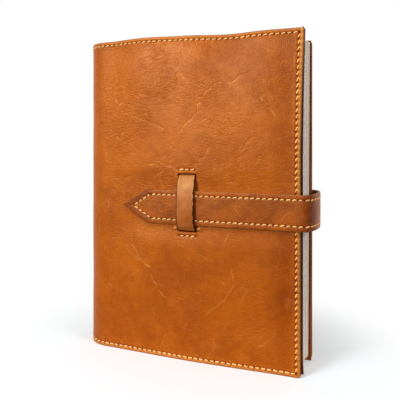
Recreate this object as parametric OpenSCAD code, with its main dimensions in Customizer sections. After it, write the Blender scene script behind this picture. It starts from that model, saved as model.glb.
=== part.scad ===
// A leather-covered notebook, standing closed with its spine to the left. X runs from the
// spine to the fore edge, Y from the front cover to the back cover, and Z up.

/* [Cover] */
// Height of the cover
cover_height = 217; // [195:1:240]
// Width of the closed cover from the outermost line of the spine to the fore edge
cover_width = 158.25; // [150:0.25:175]
// Depth of the closed book over both covers at the fore edge
book_depth = 32.3; // [26:0.1:40]
// How much deeper the book is at its spine, all of it on the front cover's side
belly = 4.2; // [3:0.1:5]
// Distance from the spine at which the front cover starts to draw in towards its fore edge
belly_x = 70.25; // [66:0.25:76]
// Thickness of the cover leather
leather_t = 2; // [1.6:0.1:2.4]
// How far the back cover reaches past the front cover at the fore edge
back_reach = 0.85; // [0:0.05:1.2]
// How much lower the back cover's top is at its fore edge than at the spine
back_slope = 3; // [0:0.1:4]
// How far the corners at the fore edge are cut off
corner_cut = 1.5; // [0.5:0.1:3]
// How far the front cover's upper corner flares past its fore edge
corner_flare = 1.6; // [0:0.1:3]

/* [Soft top edge of the front cover] */
// Height below which the front cover is flat
calm_z = 130; // [128:1:150]
// How far the soft wave stands out at the top edge
wave_out = 2; // [0:0.1:4]
// Place of the wave's crest across the cover
wave_x = 49.25; // [46:0.25:50]
// Half the width of the wave
wave_half = 27; // [20:0.5:27]
// How much higher the top edge is above the wave
top_rise = 0.5; // [0:0.1:2]
// How far the dent beside the wave goes in at the top edge
dent_in = 2.4; // [0:0.1:2.5]
// How much lower the top edge is at the dent
top_dip = 0.6; // [0:0.1:1]
// Place of the dent across the cover
dent_x = 108.25; // [100:0.25:112]
// Half the width of the dent
dent_half = 30; // [20:0.5:30]

/* [Folds of the cover] */
// Gap between a cover and the spine leather at the fold
fold_gap = 0.3; // [0.2:0.05:0.4]
// Radius of the leather's edges at the fold
fold_round = 0.25; // [0.15:0.05:0.28]

/* [Pockets] */
// Width of the pocket leather inside each cover
pocket_width = 80; // [60:1:100]
// Thickness of the pocket leather
pocket_t = 1.4; // [1:0.1:1.6]
// Room between the cover leather and the pocket leather, for the notebook's card cover
pocket_room = 1.08; // [1.05:0.01:1.2]

/* [Notebook] */
// Thickness of the notebook's card cover
card_t = 0.5; // [0.3:0.05:0.55]
// How far the card stays inside the cover's fore edge
card_inset = 4.5; // [3.4:0.1:12]
// How far the card's top lies below the cover's top
card_room = 4.2; // [4.2:0.1:8]
// How far the card lies behind the cover leather
card_behind = 0.5; // [0.48:0.01:0.52]
// Height of the lower edge of the pages and the card above the cover's foot
page_foot = 3; // [3:0.1:5]
// Height of the pages
page_height = 209.6; // [180:0.1:209.8]
// How far the last page stays inside the front cover's fore edge
page_inset = 0.4; // [0.2:0.05:1]
// Angle at which the stack of pages steps back towards the front cover
page_slant = 13.2; // [0:0.1:15]
// Angle at which the fore edge of the pages leans outwards towards its top
page_lean = 0.3; // [0:0.05:0.5]
// Clearance between the pages and what lies around them
page_gap = 0.35; // [0.3:0.01:0.6]
// How far the rounded back of the pages stays off the card's own back
page_off = 5; // [0:0.5:8]

/* [Strap] */
// Width of the strap
strap_width = 22.5; // [18:0.5:28]
// Height of the strap's middle above the cover's foot
strap_z = 102.2; // [98:0.1:106]
// Thickness of each of the strap's two layers
strap_layer = 1.15; // [1:0.05:1.5]
// Clearance between the strap and the stitches that it lies on, and between the keeper and the strap's
strap_gap = 0.1; // [0.05:0.01:0.2]
// How far the bend of the strap stands past the front cover's fore edge
strap_bulge = 8; // [6:0.5:12]
// How far the strap runs straight past the front cover's fore edge
strap_straight = 1.2; // [1:0.1:2]
// Distance from the fore edge to the strap's point
strap_reach = 124.7; // [110:0.1:130]
// Length of the point
strap_point = 18.6; // [12:0.1:24]
// Distance from the fore edge to the strap's sewn end on the back cover
strap_back = 62; // [40:1:100]
// Distance from the fore edge to the bar of stitches nearest to it on the back cover
strap_bar = 12.4; // [8:0.1:30]

/* [Keeper loop] */
// Width of the keeper
keeper_width = 12.4; // [10:0.1:18]
// Thickness of the keeper
keeper_t = 1.2; // [1:0.1:1.6]
// Distance from the fore edge to the keeper's middle
keeper_reach = 75.4; // [70:0.1:90]
// Height of the upper slit
slit_high = 123.7; // [120:0.1:125]
// Height of the lower slit
slit_low = 87.2; // [84:0.1:88]
// Height of each slit's opening
slit_open = 2.2; // [2:0.1:3]
// Length of the skived ends that lie behind the cover leather
tab_length = 8; // [6:0.5:9]
// Thickness of the skived ends
tab_t = 0.3; // [0.25:0.05:0.35]

/* [Stitching] */
// Thickness of the thread
thread_d = 0.8; // [0.5:0.05:1]
// How far the thread stands proud of the leather
thread_proud = 0.3; // [0.2:0.05:0.3]
// Length of a stitch
stitch_length = 2.9; // [2.4:0.1:3.2]
// Distance from the start of one stitch to the start of the next
stitch_pitch = 3.8; // [3.4:0.1:4.5]
// Angle of each stitch to its row
stitch_slant = 6; // [0:1:15]
// Distance from the cover's edge to its row of stitches
stitch_inset = 2.3; // [2.2:0.05:2.35]
// Length beside each fold that the cover's rows leave free, so that the opened cover lies flat
fold_free = 2.2; // [2.2:0.1:4]
// Length beside each fold that the spine's rows leave free
spine_free = 1.7; // [1.7:0.1:4]
// Distance from the strap's edge to its row of stitches
strap_inset = 3.1; // [2.5:0.1:4]
// Distance from each slit to the bar of stitches that holds the keeper
bar_offset = 3.9; // [3:0.1:5]

/* [Hidden] */
$fn = 96;

spine_r = (book_depth + belly) / 2;
spine_y = spine_r - belly;
fold_x = spine_r;
panel_x = fold_x + fold_gap / 2;
back_width = cover_width + back_reach;
card_front = leather_t + card_behind;
card_back = card_front + card_t;
card_width = cover_width - card_inset;
card_high = cover_height - card_room;
card_drop = back_slope * 0.7;
pocket_step = 0.1;
seam_reach = 8;
page_front = leather_t + pocket_room + pocket_t + page_gap;
page_back = book_depth - page_front;
page_x = cover_width - page_inset;
seam_room = 0.05;
seam_blend = 0.65;

strap_low = strap_z - strap_width / 2;
strap_high = strap_z + strap_width / 2;
strap_off = thread_proud + strap_gap;
strap_mid_y = strap_off + strap_layer;
bend_x = cover_width + strap_straight;
bend_a = strap_bulge - strap_straight - strap_layer;
bend_b = book_depth / 2 + strap_mid_y;
keeper_x = cover_width - keeper_reach;
keeper_y = strap_off + strap_layer * 2 + thread_proud + strap_gap + keeper_t / 2;
neck = 0.45;
shoulder = 0.6;
tab_y = leather_t + card_behind / 2;
sink = thread_d / 2 - thread_proud;
row_end = stitch_inset + thread_d / 2;
row_start = panel_x + fold_free;

left_x = -thread_proud;
right_x = cover_width + strap_bulge + thread_proud;
near_y = -keeper_y - keeper_t / 2 - front_out(keeper_x);
far_y = book_depth + strap_off + strap_layer * 2 + thread_proud;
origin = [-(left_x + right_x) / 2, -(near_y + far_y) / 2, 0];

columns = 30;
strap_tip = cover_width - strap_reach;
strap_steps = 20;
cover_rows = concat([0], [for (k = [0 : 8]) calm_z + (cover_height - calm_z) * k / 8]);
seam_steps = [0, 1.2, stitch_inset, stitch_inset + seam_blend / 2, stitch_inset + seam_blend];

function unit(v) = v / norm(v);

function ease(k) = k * k * (3 - 2 * k);

// A smooth bump of height 1 about mid, which fades out at half the width on either side
function bump(x, mid, half) = abs(x - mid) < half ? (1 + cos(180 * (x - mid) / half)) / 2 : 0;

// How much of the soft top edge is felt at height z, from 0 in the calm part to 1 at the top
function softness(z) = pow(max(0, (z - calm_z) / (cover_height - calm_z)), 1.6);

// How far the front cover's face stands out of the plane of its fore edge, wave and dent left out
function front_out(x) = belly * (1 - ease(max(0, min(1, (x - belly_x) / (cover_width - belly_x)))));

function swell(x, z) =
    front_out(x)
    + (wave_out * bump(x, wave_x, wave_half) - dent_in * bump(x, dent_x, dent_half)) * softness(z);

function swell_angle(x, z) = atan(swell(x + 0.5, z) - swell(x - 0.5, z));

function top_change(x) =
    top_rise * bump(x, wave_x + 4, wave_half + 9) - top_dip * bump(x, dent_x, dent_half);

function fore_edge(z) = cover_width + corner_flare * softness(z);

function back_top(x) = cover_height - back_slope * (x - fold_x) / (back_width - fold_x);

// Direction along a path at its point i, and the direction across it
function along(p, i) = unit(p[min(i + 1, len(p) - 1)] - p[max(i - 1, 0)]);
function across(p, i) = let (a = along(p, i)) [-a.y, a.x];

// Outline of a ribbon that follows a path, between two offsets at each point
function ribbon(p, low, high) = concat(
    [for (i = [0 : len(p) - 1]) p[i] + across(p, i) * low[i]],
    [for (i = [len(p) - 1 : -1 : 0]) p[i] + across(p, i) * high[i]]
);

function same(p, value) = [for (i = p) value];

function path_length(p) =
    len(p) < 2 ? 0 : norm(p[1] - p[0]) + path_length([for (i = [1 : len(p) - 1]) p[i]]);

// The point that lies s along a path, and the direction there
function at_length(p, s, i = 0) =
    let (d = norm(p[i + 1] - p[i]))
    s <= d || i == len(p) - 2
        ? [p[i] + (p[i + 1] - p[i]) * s / d, unit(p[i + 1] - p[i])]
        : at_length(p, s - d, i + 1);

// The strap's path in plan, seen from above, from its point round the fore edge to its sewn end
strap_path = concat(
    [for (k = [0 : strap_steps])
        let (x = strap_tip + (bend_x - 1 - strap_tip) * k / strap_steps)
        [x, -strap_mid_y - front_out(x)]],
    [for (a = [-90 : 7.5 : 90]) [bend_x + bend_a * cos(a), book_depth / 2 + bend_b * sin(a)]],
    [[bend_x - 1, book_depth + strap_mid_y], [cover_width - strap_back, book_depth + strap_mid_y]]
);

// The keeper's path in side view, as height and depth, from its upper end to its lower end
keeper_path = [
    [slit_high + tab_length, tab_y],
    [slit_high + 0.8, tab_y],
    [slit_high + 0.1, leather_t * 0.6],
    [slit_high - 0.2, 0.1],
    [slit_high - 1.6, -1],
    [strap_high + 1.4, -keeper_y + 0.25],
    [strap_high - 0.8, -keeper_y],
    [strap_low + 0.8, -keeper_y],
    [strap_low - 0.9, -keeper_y + shoulder],
    [slit_low + 0.6, -0.9],
    [slit_low + 0.1, 0.2],
    [slit_low - 0.1, leather_t * 0.6],
    [slit_low - 0.8, tab_y],
    [slit_low - tab_length, tab_y]
];
keeper_half = [
    tab_t / 2, tab_t / 2, neck, neck, shoulder, keeper_t / 2, keeper_t / 2,
    keeper_t / 2, keeper_t / 2, shoulder, neck, neck, tab_t / 2, tab_t / 2
];

module placed() {
    translate(origin) children();
}

// A closed sheet between two grids of points, given row by row
module sheet(near, far) {
    rows = len(near);
    cols = len(near[0]);
    count = rows * cols;
    points = concat([for (r = near) each r], [for (r = far) each r]);
    function at(r, c) = r * cols + c;
    function quad(a, b, c, d) = [[a, b, c], [a, c, d]];
    faces = concat(
        [for (r = [0 : rows - 2], c = [0 : cols - 2])
            each quad(at(r, c), at(r + 1, c), at(r + 1, c + 1), at(r, c + 1))],
        [for (r = [0 : rows - 2], c = [0 : cols - 2])
            each quad(
                count + at(r, c), count + at(r, c + 1), count + at(r + 1, c + 1), count + at(r + 1, c)
            )],
        [for (c = [0 : cols - 2])
            each quad(at(0, c), at(0, c + 1), count + at(0, c + 1), count + at(0, c))],
        [for (c = [0 : cols - 2])
            let (r = rows - 1)
            each quad(at(r, c + 1), at(r, c), count + at(r, c), count + at(r, c + 1))],
        [for (r = [0 : rows - 2])
            each quad(at(r + 1, 0), at(r, 0), count + at(r, 0), count + at(r + 1, 0))],
        [for (r = [0 : rows - 2])
            let (c = cols - 1)
            each quad(at(r, c), at(r + 1, c), count + at(r + 1, c), count + at(r, c))]
    );
    polyhedron(points, faces);
}

// A wedge that takes a corner off a cover at its fore edge
module corner_cutter(x, z, t) {
    translate([x, t / 2, z])
        rotate([0, 45, 0])
            cube([corner_cut * sqrt(2), t + 12, corner_cut * sqrt(2)], center = true);
}

// The rounded edge of a cover at its fold, along the whole height
module fold_edge(x, y) {
    translate([x, y, 0]) cylinder(r = fold_round, h = cover_height);
}

// One stitch about the origin, lying along X with its slant in the XZ plane
module stitch(slant = stitch_slant) {
    rotate([0, 90 - slant, 0]) cylinder(d = thread_d, h = stitch_length, center = true, $fn = 24);
}

// A stitch on the front face, or on the back face where facing is 1
module stitch_at(x, y, z, turn = 0, swing = 0) {
    translate([x, y, z]) rotate([0, turn, swing]) stitch();
}

// A stitch along X on the front cover's face, which it follows in and out and up and down
module face_stitch(x, z) {
    stitch_at(x, sink - swell(x, z), z + top_change(x) * softness(z), 0, -swell_angle(x, z));
}

function row_count(length) = round(length / stitch_pitch);

// Where the stitches of a row lie along its length, with half a pitch left free at both ends
function row_places(length) =
    let (n = row_count(length))
    [for (k = [0 : n - 1]) length * (k + 0.5) / n];

// Front cover: one hide panel with a soft top edge and two slits for the keeper
module front_panel() {
    function grid_point(c, z0, depth) =
        let (
            x = panel_x + (fore_edge(z0) - panel_x) * c / columns,
            z = z0 + top_change(x) * softness(z0)
        )
        [x, depth - swell(x, z0), z];
    sheet(
        [for (z = cover_rows) [for (c = [0 : columns]) grid_point(c, z, 0)]],
        [for (z = cover_rows) [for (c = [0 : columns]) grid_point(c, z, leather_t)]]
    );
}

module front_cover() {
    color([0.74, 0.40, 0.17])
        placed()
            difference() {
                front_panel();
                for (z = [slit_low, slit_high])
                    translate([keeper_x, leather_t / 2 - front_out(keeper_x), z])
                        cube([keeper_width + 0.8, leather_t + 4, slit_open], center = true);
                corner_cutter(fore_edge(cover_height), cover_height, leather_t);
                corner_cutter(cover_width, 0, leather_t);
            }
}

// How far the pocket leather stands off the cover leather, d inside its sewn edges
function pocket_stand(d) =
    d < stitch_inset
        ? seam_room + (pocket_room - seam_room) * (1 - ease(d / stitch_inset))
        : seam_room + (pocket_room - seam_room) * ease(min(1, (d - stitch_inset) / seam_blend));

// Pocket leather: sewn to the cover along its foot, its fore edge and its top, open to the spine.
// It is laid out as a rectangle, width by top, and then follows the cover's own outline.
module pocket(width, top, front) {
    start = width - pocket_width;
    function out(x, z) = front ? swell(x, z) : 0;
    function stand(x, z) = leather_t + pocket_stand(min(width - x, z, top - z));
    function flare(x, z) = front ? (fore_edge(z) - cover_width) * (x - start) / pocket_width : 0;
    function lift(x, z) = front
        ? top_change(x) * softness(z)
        : (back_top(x) - back_top(back_width)) * z / top;
    function point(x, z, depth) = [x + flare(x, z), depth + stand(x, z) - out(x, z), z + lift(x, z)];
    xs = concat(
        [for (k = [0 : 16]) start + (pocket_width - seam_reach) * k / 16],
        [for (k = [4 : -1 : 0]) width - seam_steps[k]]
    );
    zs = concat(
        seam_steps,
        [seam_reach, calm_z],
        [for (k = [1 : 4]) calm_z + (top - seam_reach - calm_z) * k / 4],
        [for (k = [4 : -1 : 0]) top - seam_steps[k]]
    );
    sheet(
        [for (z = zs) [for (x = xs) point(x, z, 0)]],
        [for (z = zs) [for (x = xs) point(x, z, pocket_t)]]
    );
}

module front_pocket() {
    color([0.62, 0.33, 0.15])
        placed() pocket(cover_width - pocket_step, cover_height - 2 * pocket_step, true);
}

// Flat card cover of the notebook, with its upper corner at the fore edge drop lower
module card_panel(drop) {
    translate([0, card_back, 0])
        rotate([90, 0, 0])
            linear_extrude(card_t)
                polygon([
                    [panel_x, page_foot], [card_width, page_foot],
                    [card_width, card_high - drop], [panel_x, card_high]
                ]);
}

// The front card lies against the cover leather and follows its belly, wave and dent
module front_card() {
    zs = concat([page_foot, calm_z], [for (k = [1 : 6]) calm_z + (card_high - calm_z) * k / 6]);
    xs = [for (c = [0 : columns]) panel_x + (card_width - panel_x) * c / columns];
    color([0.09, 0.09, 0.10])
        placed()
            sheet(
                [for (z = zs) [for (x = xs) [x, card_front - swell(x, z), z]]],
                [for (z = zs) [for (x = xs) [x, card_back - swell(x, z), z]]]
            );
}

// Keeper: a narrow strip over the strap, with its skived ends pushed through the slits
module keeper_loop() {
    color([0.70, 0.38, 0.17])
        placed()
            translate([keeper_x, -front_out(keeper_x), 0])
                rotate([0, 0, -swell_angle(keeper_x, 0)])
                    translate([-keeper_width / 2, 0, 0])
                        rotate([90, 0, 90])
                            linear_extrude(keeper_width)
                                polygon([
                                    for (q = ribbon(keeper_path, -keeper_half, keeper_half)) [q.y, q.x]
                                ]);
}

module keeper_thread() {
    color([0.93, 0.76, 0.46])
        placed()
            for (z = [slit_high + bar_offset, slit_low - bar_offset], k = [-1 : 1])
                face_stitch(keeper_x + k * stitch_pitch, z);
}

// Thread along the front cover's top, foot and fore edge
module front_edge_thread() {
    run = cover_width - row_end - row_start;
    rise = cover_height - 2 * row_end;
    color([0.93, 0.76, 0.46])
        placed() {
            for (s = row_places(run)) {
                face_stitch(row_start + s, stitch_inset);
                face_stitch(row_start + s, cover_height - stitch_inset);
            }
            for (s = row_places(rise))
                stitch_at(fore_edge(row_end + s) - stitch_inset, sink, row_end + s, 90);
        }
}

// Spine: the hide's rounded middle, between the two folds
module spine_profile(outer, t) {
    difference() {
        circle(r = outer);
        circle(r = outer - t);
        translate([-fold_gap / 2, -2 * outer]) square([4 * outer, 4 * outer]);
    }
}

module spine_leather() {
    corner = fold_gap / 2 + fold_round;
    color([0.70, 0.35, 0.13])
        placed() {
            translate([spine_r, spine_y, 0])
                linear_extrude(cover_height)
                    difference() {
                        spine_profile(spine_r, leather_t);
                        for (side = [-1, 1])
                            translate([-corner / 2, side * spine_r])
                                square([corner, fold_round * 2], center = true);
                    }
            fold_edge(fold_x - corner, fold_round - belly);
            fold_edge(fold_x - corner, book_depth - fold_round);
        }
}

module spine_card() {
    color([0.09, 0.09, 0.10])
        placed()
            translate([spine_r, spine_y, page_foot])
                linear_extrude(card_high - page_foot)
                    spine_profile(spine_r - card_front, card_t);
}

// Thread that carries the two edge rows round the spine
module spine_thread() {
    half_round = PI * spine_r;
    color([0.93, 0.76, 0.46])
        placed()
            for (
                z = [stitch_inset, cover_height - stitch_inset],
                s = row_places(half_round - 2 * spine_free)
            )
                translate([spine_r, spine_y, z])
                    rotate([0, 0, 90 + 180 * (s + spine_free) / half_round])
                        translate([spine_r - sink, 0, 0])
                            rotate([0, 0, 90])
                                stitch();
}

// Pages: one block with a rounded back and a stepped fore edge, thicker towards its back
module page_block() {
    back_r = spine_r - card_back - page_gap;
    back_x = spine_r + page_off;
    wide = page_x + 3;
    function face(x) = page_front - max(0, front_out(x) - dent_in);
    color([0.93, 0.91, 0.87])
        placed()
            difference() {
                translate([0, 0, page_foot])
                    linear_extrude(page_height)
                        intersection() {
                            polygon(concat(
                                [for (k = [0 : 40]) let (x = wide * k / 40) [x, face(x)]],
                                [[wide, page_back], [0, page_back]]
                            ));
                            union() {
                                translate([back_x, spine_y]) circle(r = back_r);
                                translate([back_x, -belly]) square([page_x, book_depth + belly]);
                            }
                        }
                translate([page_x, page_back, cover_height / 2])
                    rotate([0, page_lean, -page_slant])
                        translate([0, -book_depth * 1.5, -cover_height])
                            cube([30, book_depth * 2, cover_height * 2]);
            }
}

// Back cover: the hide's other panel, with its top edge cut a little lower towards the fore edge
module back_cover() {
    cut = corner_cut;
    high = back_top(back_width);
    color([0.66, 0.34, 0.14])
        placed()
            translate([0, book_depth, 0])
                rotate([90, 0, 0])
                    linear_extrude(leather_t)
                        polygon([
                            [panel_x, 0], [back_width - cut, 0], [back_width, cut],
                            [back_width, high - cut], [back_width - cut, high], [panel_x, cover_height]
                        ]);
}

module back_pocket() {
    color([0.62, 0.33, 0.15])
        placed()
            translate([0, book_depth, 0])
                mirror([0, 1, 0])
                    pocket(back_width - pocket_step, back_top(back_width) - 2 * pocket_step, false);
}

module back_card() {
    color([0.09, 0.09, 0.10])
        placed()
            translate([0, book_depth, 0])
                mirror([0, 1, 0])
                    card_panel(card_drop);
}

module back_edge_thread() {
    run = back_width - row_end - row_start;
    rise = back_top(back_width) - 2 * row_end;
    slope = atan(back_slope / (back_width - fold_x));
    y = book_depth - sink;
    color([0.93, 0.76, 0.46])
        placed() {
            for (s = row_places(run)) {
                stitch_at(row_start + s, y, stitch_inset);
                stitch_at(row_start + s, y, back_top(row_start + s) - stitch_inset, slope);
            }
            for (s = row_places(rise))
                stitch_at(back_width - stitch_inset, y, row_end + s, 90);
        }
}

// Strap: two layers sewn together, bent round the fore edge, with a point at the front
module strap_layer_solid(low, high) {
    difference() {
        translate([0, 0, strap_low])
            linear_extrude(strap_width)
                polygon(ribbon(strap_path, same(strap_path, low), same(strap_path, high)));
        for (side = [-1, 1])
            translate([strap_tip, 0, strap_z])
                rotate([90, 0, 0])
                    linear_extrude(4 * keeper_y, center = true)
                        polygon([
                            [-1, side * -0.05], [0, 0], [strap_point, side * strap_width / 2],
                            [strap_point, side * strap_width], [-1, side * strap_width]
                        ]);
    }
}

module strap_face() {
    color([0.67, 0.36, 0.17]) placed() strap_layer_solid(-strap_layer, 0);
}

module strap_lining() {
    color([0.55, 0.30, 0.15]) placed() strap_layer_solid(0.02, strap_layer);
}

// Stitches on the strap's outer face, s along the strap and h above its middle
module strap_stitch(s, h, turn = 0) {
    spot = at_length(strap_path, s);
    out = [spot[1].y, -spot[1].x];
    p = spot[0] + out * (strap_layer - sink);
    translate([p.x, p.y, strap_z + h])
        rotate([0, 0, atan2(spot[1].y, spot[1].x)])
            rotate([0, turn, 0])
                stitch();
}

module strap_thread() {
    half = strap_width / 2 - strap_inset;
    edge = atan2(strap_width / 2, strap_point);
    point = strap_inset / sin(edge);
    room = thread_d / 2;
    side_run = half / sin(edge) - 3 * room;
    start = point + half / tan(edge) + room;
    run = path_length(strap_path) - start - strap_inset;
    color([0.93, 0.76, 0.46])
        placed()
            for (side = [-1, 1]) {
                for (s = row_places(run))
                    strap_stitch(start + s, side * half);
                for (s = row_places(side_run))
                    let (d = s + 2 * room)
                    strap_stitch(point + d * cos(edge), side * d * sin(edge), -side * edge);
            }
}

// Two bars of stitches across the strap that hold it to the back cover
module strap_anchor_thread() {
    total = path_length(strap_path);
    bars = [strap_inset, strap_back - strap_bar];
    color([0.93, 0.76, 0.46])
        placed()
            for (back = bars, k = [-1 : 1])
                strap_stitch(total - back, k * stitch_pitch, 90);
}

front_cover();
front_pocket();
front_card();
keeper_loop();
keeper_thread();
front_edge_thread();
spine_leather();
spine_card();
spine_thread();
page_block();
back_cover();
back_pocket();
back_card();
back_edge_thread();
strap_face();
strap_lining();
strap_thread();
strap_anchor_thread();
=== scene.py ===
import math
import bpy
import numpy as np
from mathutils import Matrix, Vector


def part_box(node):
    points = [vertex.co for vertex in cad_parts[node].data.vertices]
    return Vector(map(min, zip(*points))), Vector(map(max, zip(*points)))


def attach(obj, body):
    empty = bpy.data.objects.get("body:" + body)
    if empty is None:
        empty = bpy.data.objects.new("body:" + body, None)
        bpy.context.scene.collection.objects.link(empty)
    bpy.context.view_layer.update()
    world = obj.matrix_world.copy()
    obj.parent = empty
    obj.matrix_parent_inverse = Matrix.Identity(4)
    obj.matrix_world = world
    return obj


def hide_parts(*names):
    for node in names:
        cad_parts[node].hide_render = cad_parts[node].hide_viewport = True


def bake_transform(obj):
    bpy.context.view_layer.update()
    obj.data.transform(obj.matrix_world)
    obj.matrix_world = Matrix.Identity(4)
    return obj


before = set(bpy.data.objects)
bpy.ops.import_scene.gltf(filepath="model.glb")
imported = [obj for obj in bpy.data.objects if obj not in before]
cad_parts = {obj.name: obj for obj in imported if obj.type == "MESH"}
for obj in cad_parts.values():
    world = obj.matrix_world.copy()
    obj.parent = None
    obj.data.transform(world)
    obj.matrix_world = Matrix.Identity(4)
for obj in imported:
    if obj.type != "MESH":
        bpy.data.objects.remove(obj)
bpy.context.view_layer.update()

# Camera: the notebook is seen from just below its upper third, from the right of its front
# cover, with a level camera whose picture is shifted down instead of tipped.
MM = 0.001
EYE = (135.0, -322.1, 148.6)
EYE_TURN = 22.5
LENS = 45.0
FRAME_SHIFT = -0.155

camera_data = bpy.data.cameras.new("camera")
camera_data.lens = LENS
camera_data.shift_y = FRAME_SHIFT
camera_data.clip_start = 0.01
camera = bpy.data.objects.new("camera", camera_data)
camera.location = [c * MM for c in EYE]
camera.rotation_euler = (math.radians(90), 0, math.radians(EYE_TURN))
bpy.context.collection.objects.link(camera)
bpy.context.scene.camera = camera
bpy.context.scene.view_settings.view_transform = "Standard"


# Studio: a white paper floor that runs out into a white background, a large soft lamp high on
# the left, a low one in front, and an even glow from all round.
FLOOR_HALF = 1.4
FLOOR_FADE = (0.07, 0.165)
FLOOR_LIFT = 0.20
FLOOR_COLOUR = (0.89, 0.93, 0.95, 1)
GLOW = 0.48


def add_node(tree, kind, inputs=None, **settings):
    """A node with its settings, whose inputs are given as values or as sockets to join."""
    node = tree.nodes.new(kind)
    for key, value in settings.items():
        setattr(node, key, value)
    for socket, value in (inputs or {}).items():
        if isinstance(value, bpy.types.NodeSocket):
            tree.links.new(value, node.inputs[socket])
        else:
            node.inputs[socket].default_value = value
    return node


def math_node(tree, operation, a, b=0.0, c=0.0, clamp=False):
    node = add_node(tree, "ShaderNodeMath", {0: a, 1: b, 2: c}, operation=operation)
    node.use_clamp = clamp
    return node.outputs[0]


def ramp_between(tree, value, low, high, out_low=0.0, out_high=1.0):
    """The value eased from out_low, at low, to out_high, at high."""
    node = add_node(tree, "ShaderNodeMapRange", {0: value, 1: low, 2: high, 3: out_low, 4: out_high})
    node.interpolation_type = "SMOOTHSTEP"
    return node.outputs[0]


def mix_colour(tree, share, first, second, blend="MIX"):
    node = add_node(tree, "ShaderNodeMix", {0: share, 6: first, 7: second}, data_type="RGBA")
    node.blend_type = blend
    return node.outputs[2]


def seen_directly(tree):
    """1 for rays that show the background: from the camera, in gloss, and through glass."""
    path = add_node(tree, "ShaderNodeLightPath")
    near = math_node(tree, "MAXIMUM", path.outputs["Is Camera Ray"], path.outputs["Is Glossy Ray"])
    return math_node(tree, "MAXIMUM", near, path.outputs["Is Transmission Ray"])


floor_material = bpy.data.materials.new("white floor")
floor_material.use_nodes = True
tree = floor_material.node_tree
tree.nodes.clear()
where = add_node(tree, "ShaderNodeTexCoord").outputs["Object"]
away = add_node(tree, "ShaderNodeVectorMath", {0: where}, operation="LENGTH").outputs["Value"]
fade = ramp_between(tree, away, *FLOOR_FADE, FLOOR_LIFT, 1.0)
paper = add_node(tree, "ShaderNodeBsdfDiffuse", {"Color": FLOOR_COLOUR})
white = add_node(tree, "ShaderNodeEmission", {"Strength": seen_directly(tree)})
floor_mix = add_node(tree, "ShaderNodeMixShader", {0: fade, 1: paper.outputs[0], 2: white.outputs[0]})
add_node(tree, "ShaderNodeOutputMaterial", {0: floor_mix.outputs[0]})

floor_mesh = bpy.data.meshes.new("floor")
corners = [(-1, -1), (1, -1), (1, 1), (-1, 1)]
floor_mesh.from_pydata([(a * FLOOR_HALF, b * FLOOR_HALF, 0) for a, b in corners], [], [(0, 1, 2, 3)])
floor_mesh.materials.append(floor_material)
floor = bpy.data.objects.new("floor", floor_mesh)
bpy.context.collection.objects.link(floor)

world = bpy.data.worlds.new("glow")
world.use_nodes = True
bpy.context.scene.world = world
tree = world.node_tree
tree.nodes.clear()
background = add_node(tree, "ShaderNodeBackground", {
    "Color": (1, 1, 1, 1),
    "Strength": ramp_between(tree, seen_directly(tree), 0, 1, GLOW, 1.0),
})
add_node(tree, "ShaderNodeOutputWorld", {0: background.outputs[0]})


def soft_lamp(name, place, aim, size, watts):
    lamp = bpy.data.lights.new(name, "AREA")
    lamp.size = size
    lamp.energy = watts
    thing = bpy.data.objects.new(name, lamp)
    thing.location = place
    thing.rotation_euler = (
        Vector(aim) - Vector(place)
    ).to_track_quat("-Z", "Y").to_euler()
    bpy.context.collection.objects.link(thing)
    return thing


soft_lamp("key lamp", (-0.40, -0.91, 0.42), (-0.03, 0, 0.17), 0.30, 6.8)
soft_lamp("top lamp", (-0.24, -0.46, 0.74), (-0.02, 0, 0.16), 0.26, 2.2)
soft_lamp("side lamp", (0.92, -0.26, 0.52), (0.08, 0, 0.17), 0.4, 4.6)
sheen_lamp = soft_lamp("sheen lamp", (-0.36, -0.93, 0.46), (-0.02, 0, 0.18), 0.36, 19.0)
sheen_lamp.visible_diffuse = False


# The book's own measure: X from the outermost line of the spine, Y from the front cover's
# face, Z up from the foot, all in millimetres. The spine's own box says where that corner is.
spine_low, spine_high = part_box("spine_leather")
belly = 4.2
belly_x = 70.25
book_corner = np.array(spine_low) / MM + (0, belly, 0)
book_depth = (spine_high.y - spine_low.y) / MM - belly
cover_height = (spine_high.z - spine_low.z) / MM
cover_width = 158.25
leather_t = 2.0
spine_r = (book_depth + belly) / 2
spine_y = spine_r - belly
half_arc = math.pi * spine_r / 2
fold_x = spine_r
panel_x = fold_x + 0.15
back_reach = 0.85
back_width = cover_width + back_reach
back_slope = 3.0


def in_frame(points):
    """Book millimetres to the frame's metres."""
    return (np.asarray(points, float) + book_corner) * MM


def ease(k):
    return k * k * (3 - 2 * k)


def front_out(x):
    """How far the front cover stands out of the plane of its fore edge: the book is deeper at
    its spine."""
    return belly * (1 - ease(np.clip((x - belly_x) / (cover_width - belly_x), 0, 1)))


def plain_mesh(name, points, faces, material, values=None):
    """An object at the origin from book millimetres, turned right side out if need be."""
    points = in_frame(points)
    a = points[[f[0] for f in faces]]
    b = points[[f[1] for f in faces]]
    c = points[[f[2] for f in faces]]
    d = points[[f[-1] for f in faces]]
    volume = np.einsum("ij,ij->i", a, np.cross(b, c)).sum() + np.einsum("ij,ij->i", a, np.cross(c, d)).sum()
    if volume < 0:
        faces = [f[::-1] for f in faces]
    mesh = bpy.data.meshes.new(name)
    mesh.from_pydata(points.tolist(), [], faces)
    mesh.update()
    mesh.polygons.foreach_set("use_smooth", np.ones(len(mesh.polygons), bool))
    for label, numbers in (values or {}).items():
        layer = mesh.attributes.new(label, "FLOAT", "POINT")
        layer.data.foreach_set("value", np.asarray(numbers, np.float32))
    mesh.materials.append(material)
    thing = bpy.data.objects.new(name, mesh)
    bpy.context.collection.objects.link(thing)
    return thing


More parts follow.
